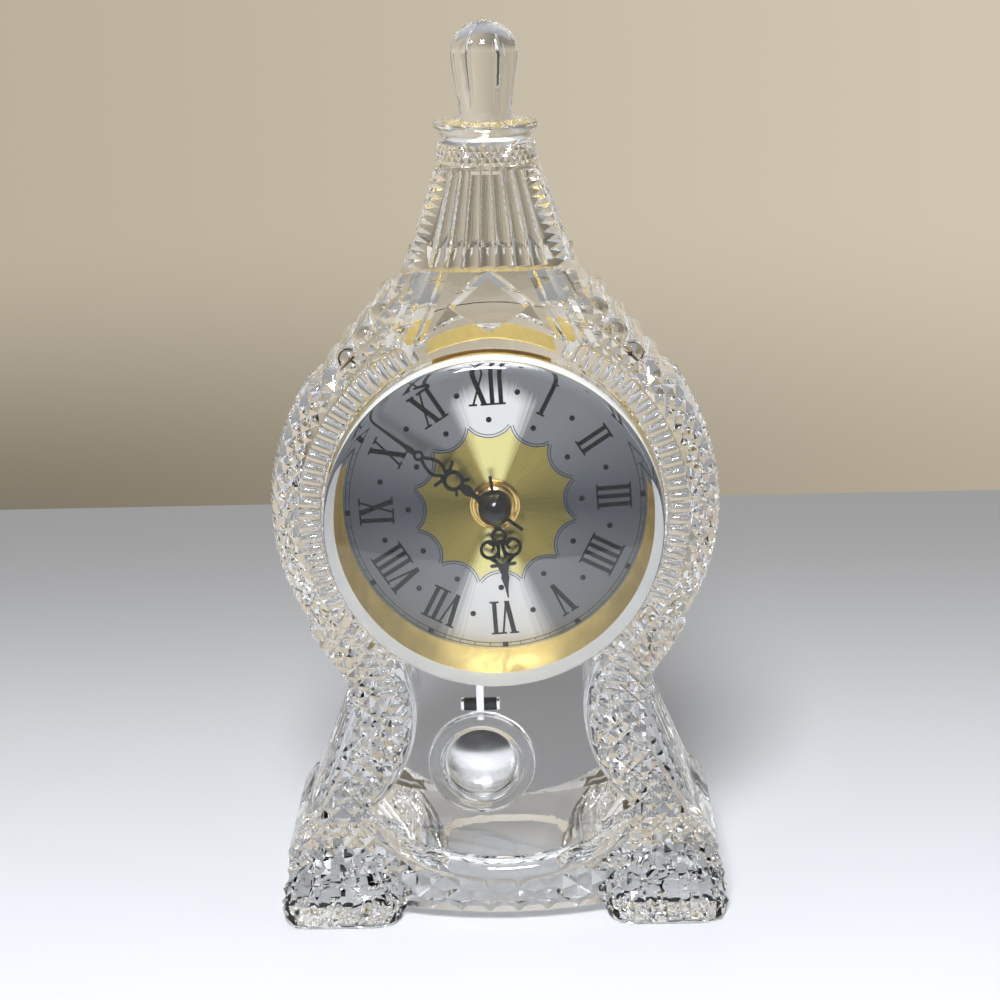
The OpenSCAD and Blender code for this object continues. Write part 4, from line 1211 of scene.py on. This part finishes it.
def look():
    """Places the camera where it was fitted to the photograph."""
    pitch = radians(17.07)
    yaw = radians(1.17)
    roll = radians(-1.49)
    place = Vector((15.1, -665.6, 345.3)) * MM
    pixels_wide = 1000
    focal_pixels = 2128.1
    sensor_mm = 36
    forward = Vector((-sin(yaw) * cos(pitch), cos(yaw) * cos(pitch), -sin(pitch)))
    right = Vector((cos(yaw), sin(yaw), 0))
    up = right.cross(forward)
    tilted_right = right * cos(roll) + up * sin(roll)
    tilted_up = up * cos(roll) - right * sin(roll)
    camera = placed("camera", bpy.data.cameras.new("camera"))
    turn = Matrix((tilted_right, tilted_up, -forward)).transposed().to_4x4()
    camera.matrix_world = Matrix.Translation(place) @ turn
    camera.data.sensor_width = sensor_mm
    camera.data.sensor_fit = "HORIZONTAL"
    camera.data.lens = focal_pixels / pixels_wide * sensor_mm
    bpy.context.scene.camera = camera


def table_top():
    """The pale table: white near the viewer, with painted shade that greys it towards its far edge."""
    near_y = -0.34
    far_y = 0.459
    half_wide = 2.2
    place = to(0, (near_y + far_y) / 2, 0)
    bm = bmesh.new()
    bmesh.ops.create_grid(bm, x_segments=1, y_segments=1, size=1,
                          matrix=place @ Matrix.Diagonal((half_wide, (far_y - near_y) / 2, 1, 1)))
    thing = placed("table", as_mesh(bm, "table"))
    material, tree, shader = new_material("table")
    split = new_node(tree, "SeparateXYZ")
    tree.links.new(coordinates(tree), split.inputs["Vector"])
    # Painted shade: the colour greys towards the table's far edge, where the light falls off
    far = between(tree, split.outputs["Y"], -0.10, 0.44)
    cloud = noise(tree, 3.0, 2.0)
    near = ramp(tree, cloud, (0.3, (0.76, 0.78, 0.82)), (0.7, (0.80, 0.82, 0.85)))
    tree.links.new(mixed(tree, far, near, (0.34, 0.345, 0.355)), shader.inputs["Base Color"])
    filled(shader, Roughness=0.42)
    bumped(tree, shader, cloud, 0.05, 0.001)
    thing.data.materials.append(material)


def lamp(name, place, aim, sides, power, colour=(1, 1, 1)):
    """A soft rectangular lamp, aimed at a point."""
    data = bpy.data.lights.new(name, "AREA")
    data.shape = "RECTANGLE"
    data.size, data.size_y = sides
    data.energy = power
    data.color = colour
    thing = placed(name, data)
    turn = (Vector(aim) - Vector(place)).to_track_quat("-Z", "Y").to_matrix().to_4x4()
    thing.matrix_world = Matrix.Translation(place) @ turn


def surroundings():
    """A warm wall all round. Glass and metal also see the dim room before it and the pale ceiling."""
    world = bpy.data.worlds.new("room")
    bpy.context.scene.world = world
    world.use_nodes = True
    tree = world.node_tree
    background = tree.nodes["Background"]
    split = new_node(tree, "SeparateXYZ")
    tree.links.new(coordinates(tree, "Generated"), split.inputs["Vector"])
    side = between(tree, split.outputs["X"], -0.35, 0.35)
    light = mixed(tree, side, (0.49, 0.43, 0.33), (0.66, 0.58, 0.46))
    shade = mixed(tree, side, (0.19, 0.165, 0.12), (0.50, 0.43, 0.33))
    wall = mixed(tree, between(tree, split.outputs["Z"], -0.30, -0.16), shade, light)
    ceiling = mixed(tree, between(tree, split.outputs["Z"], 0.35, 0.75), wall, (0.80, 0.80, 0.80))
    overhead = between(tree, split.outputs["Z"], 0.45, 0.8)
    dim = mixed(tree, overhead, (0.075, 0.075, 0.08), (0.55, 0.56, 0.58))
    path = new_node(tree, "LightPath")
    low_front = mixed(tree, path.outputs["Is Transmission Ray"], (0.06, 0.06, 0.065), (0.97, 0.98, 1.0))
    front = mixed(tree, between(tree, split.outputs["Z"], -0.14, -0.05), low_front, dim)
    room = mixed(tree, between(tree, split.outputs["Y"], -0.25, 0.25), front, ceiling)
    fill = mixed(tree, path.outputs["Is Diffuse Ray"], room, (0.20, 0.205, 0.22))
    tree.links.new(mixed(tree, path.outputs["Is Camera Ray"], fill, wall), background.inputs["Color"])
    background.inputs["Strength"].default_value = 1.0


look()
table_top()
surroundings()
lamp("window", (-0.12, -1.16, 1.34), (0, 0, 0.10), (0.5, 0.5), 38, (0.97, 0.98, 1.0))
lamp("ceiling", (-0.2, 0.2, 2.0), (0, 0, 0), (1.4, 1.4), 4)
lamp("side", (1.3, -0.5, 0.6), (0, 0, 0.15), (0.25, 0.9), 2)
scene = bpy.context.scene
scene.view_settings.view_transform = "Standard"
scene.cycles.max_bounces = 24
scene.cycles.transmission_bounces = 24
scene.cycles.glossy_bounces = 12
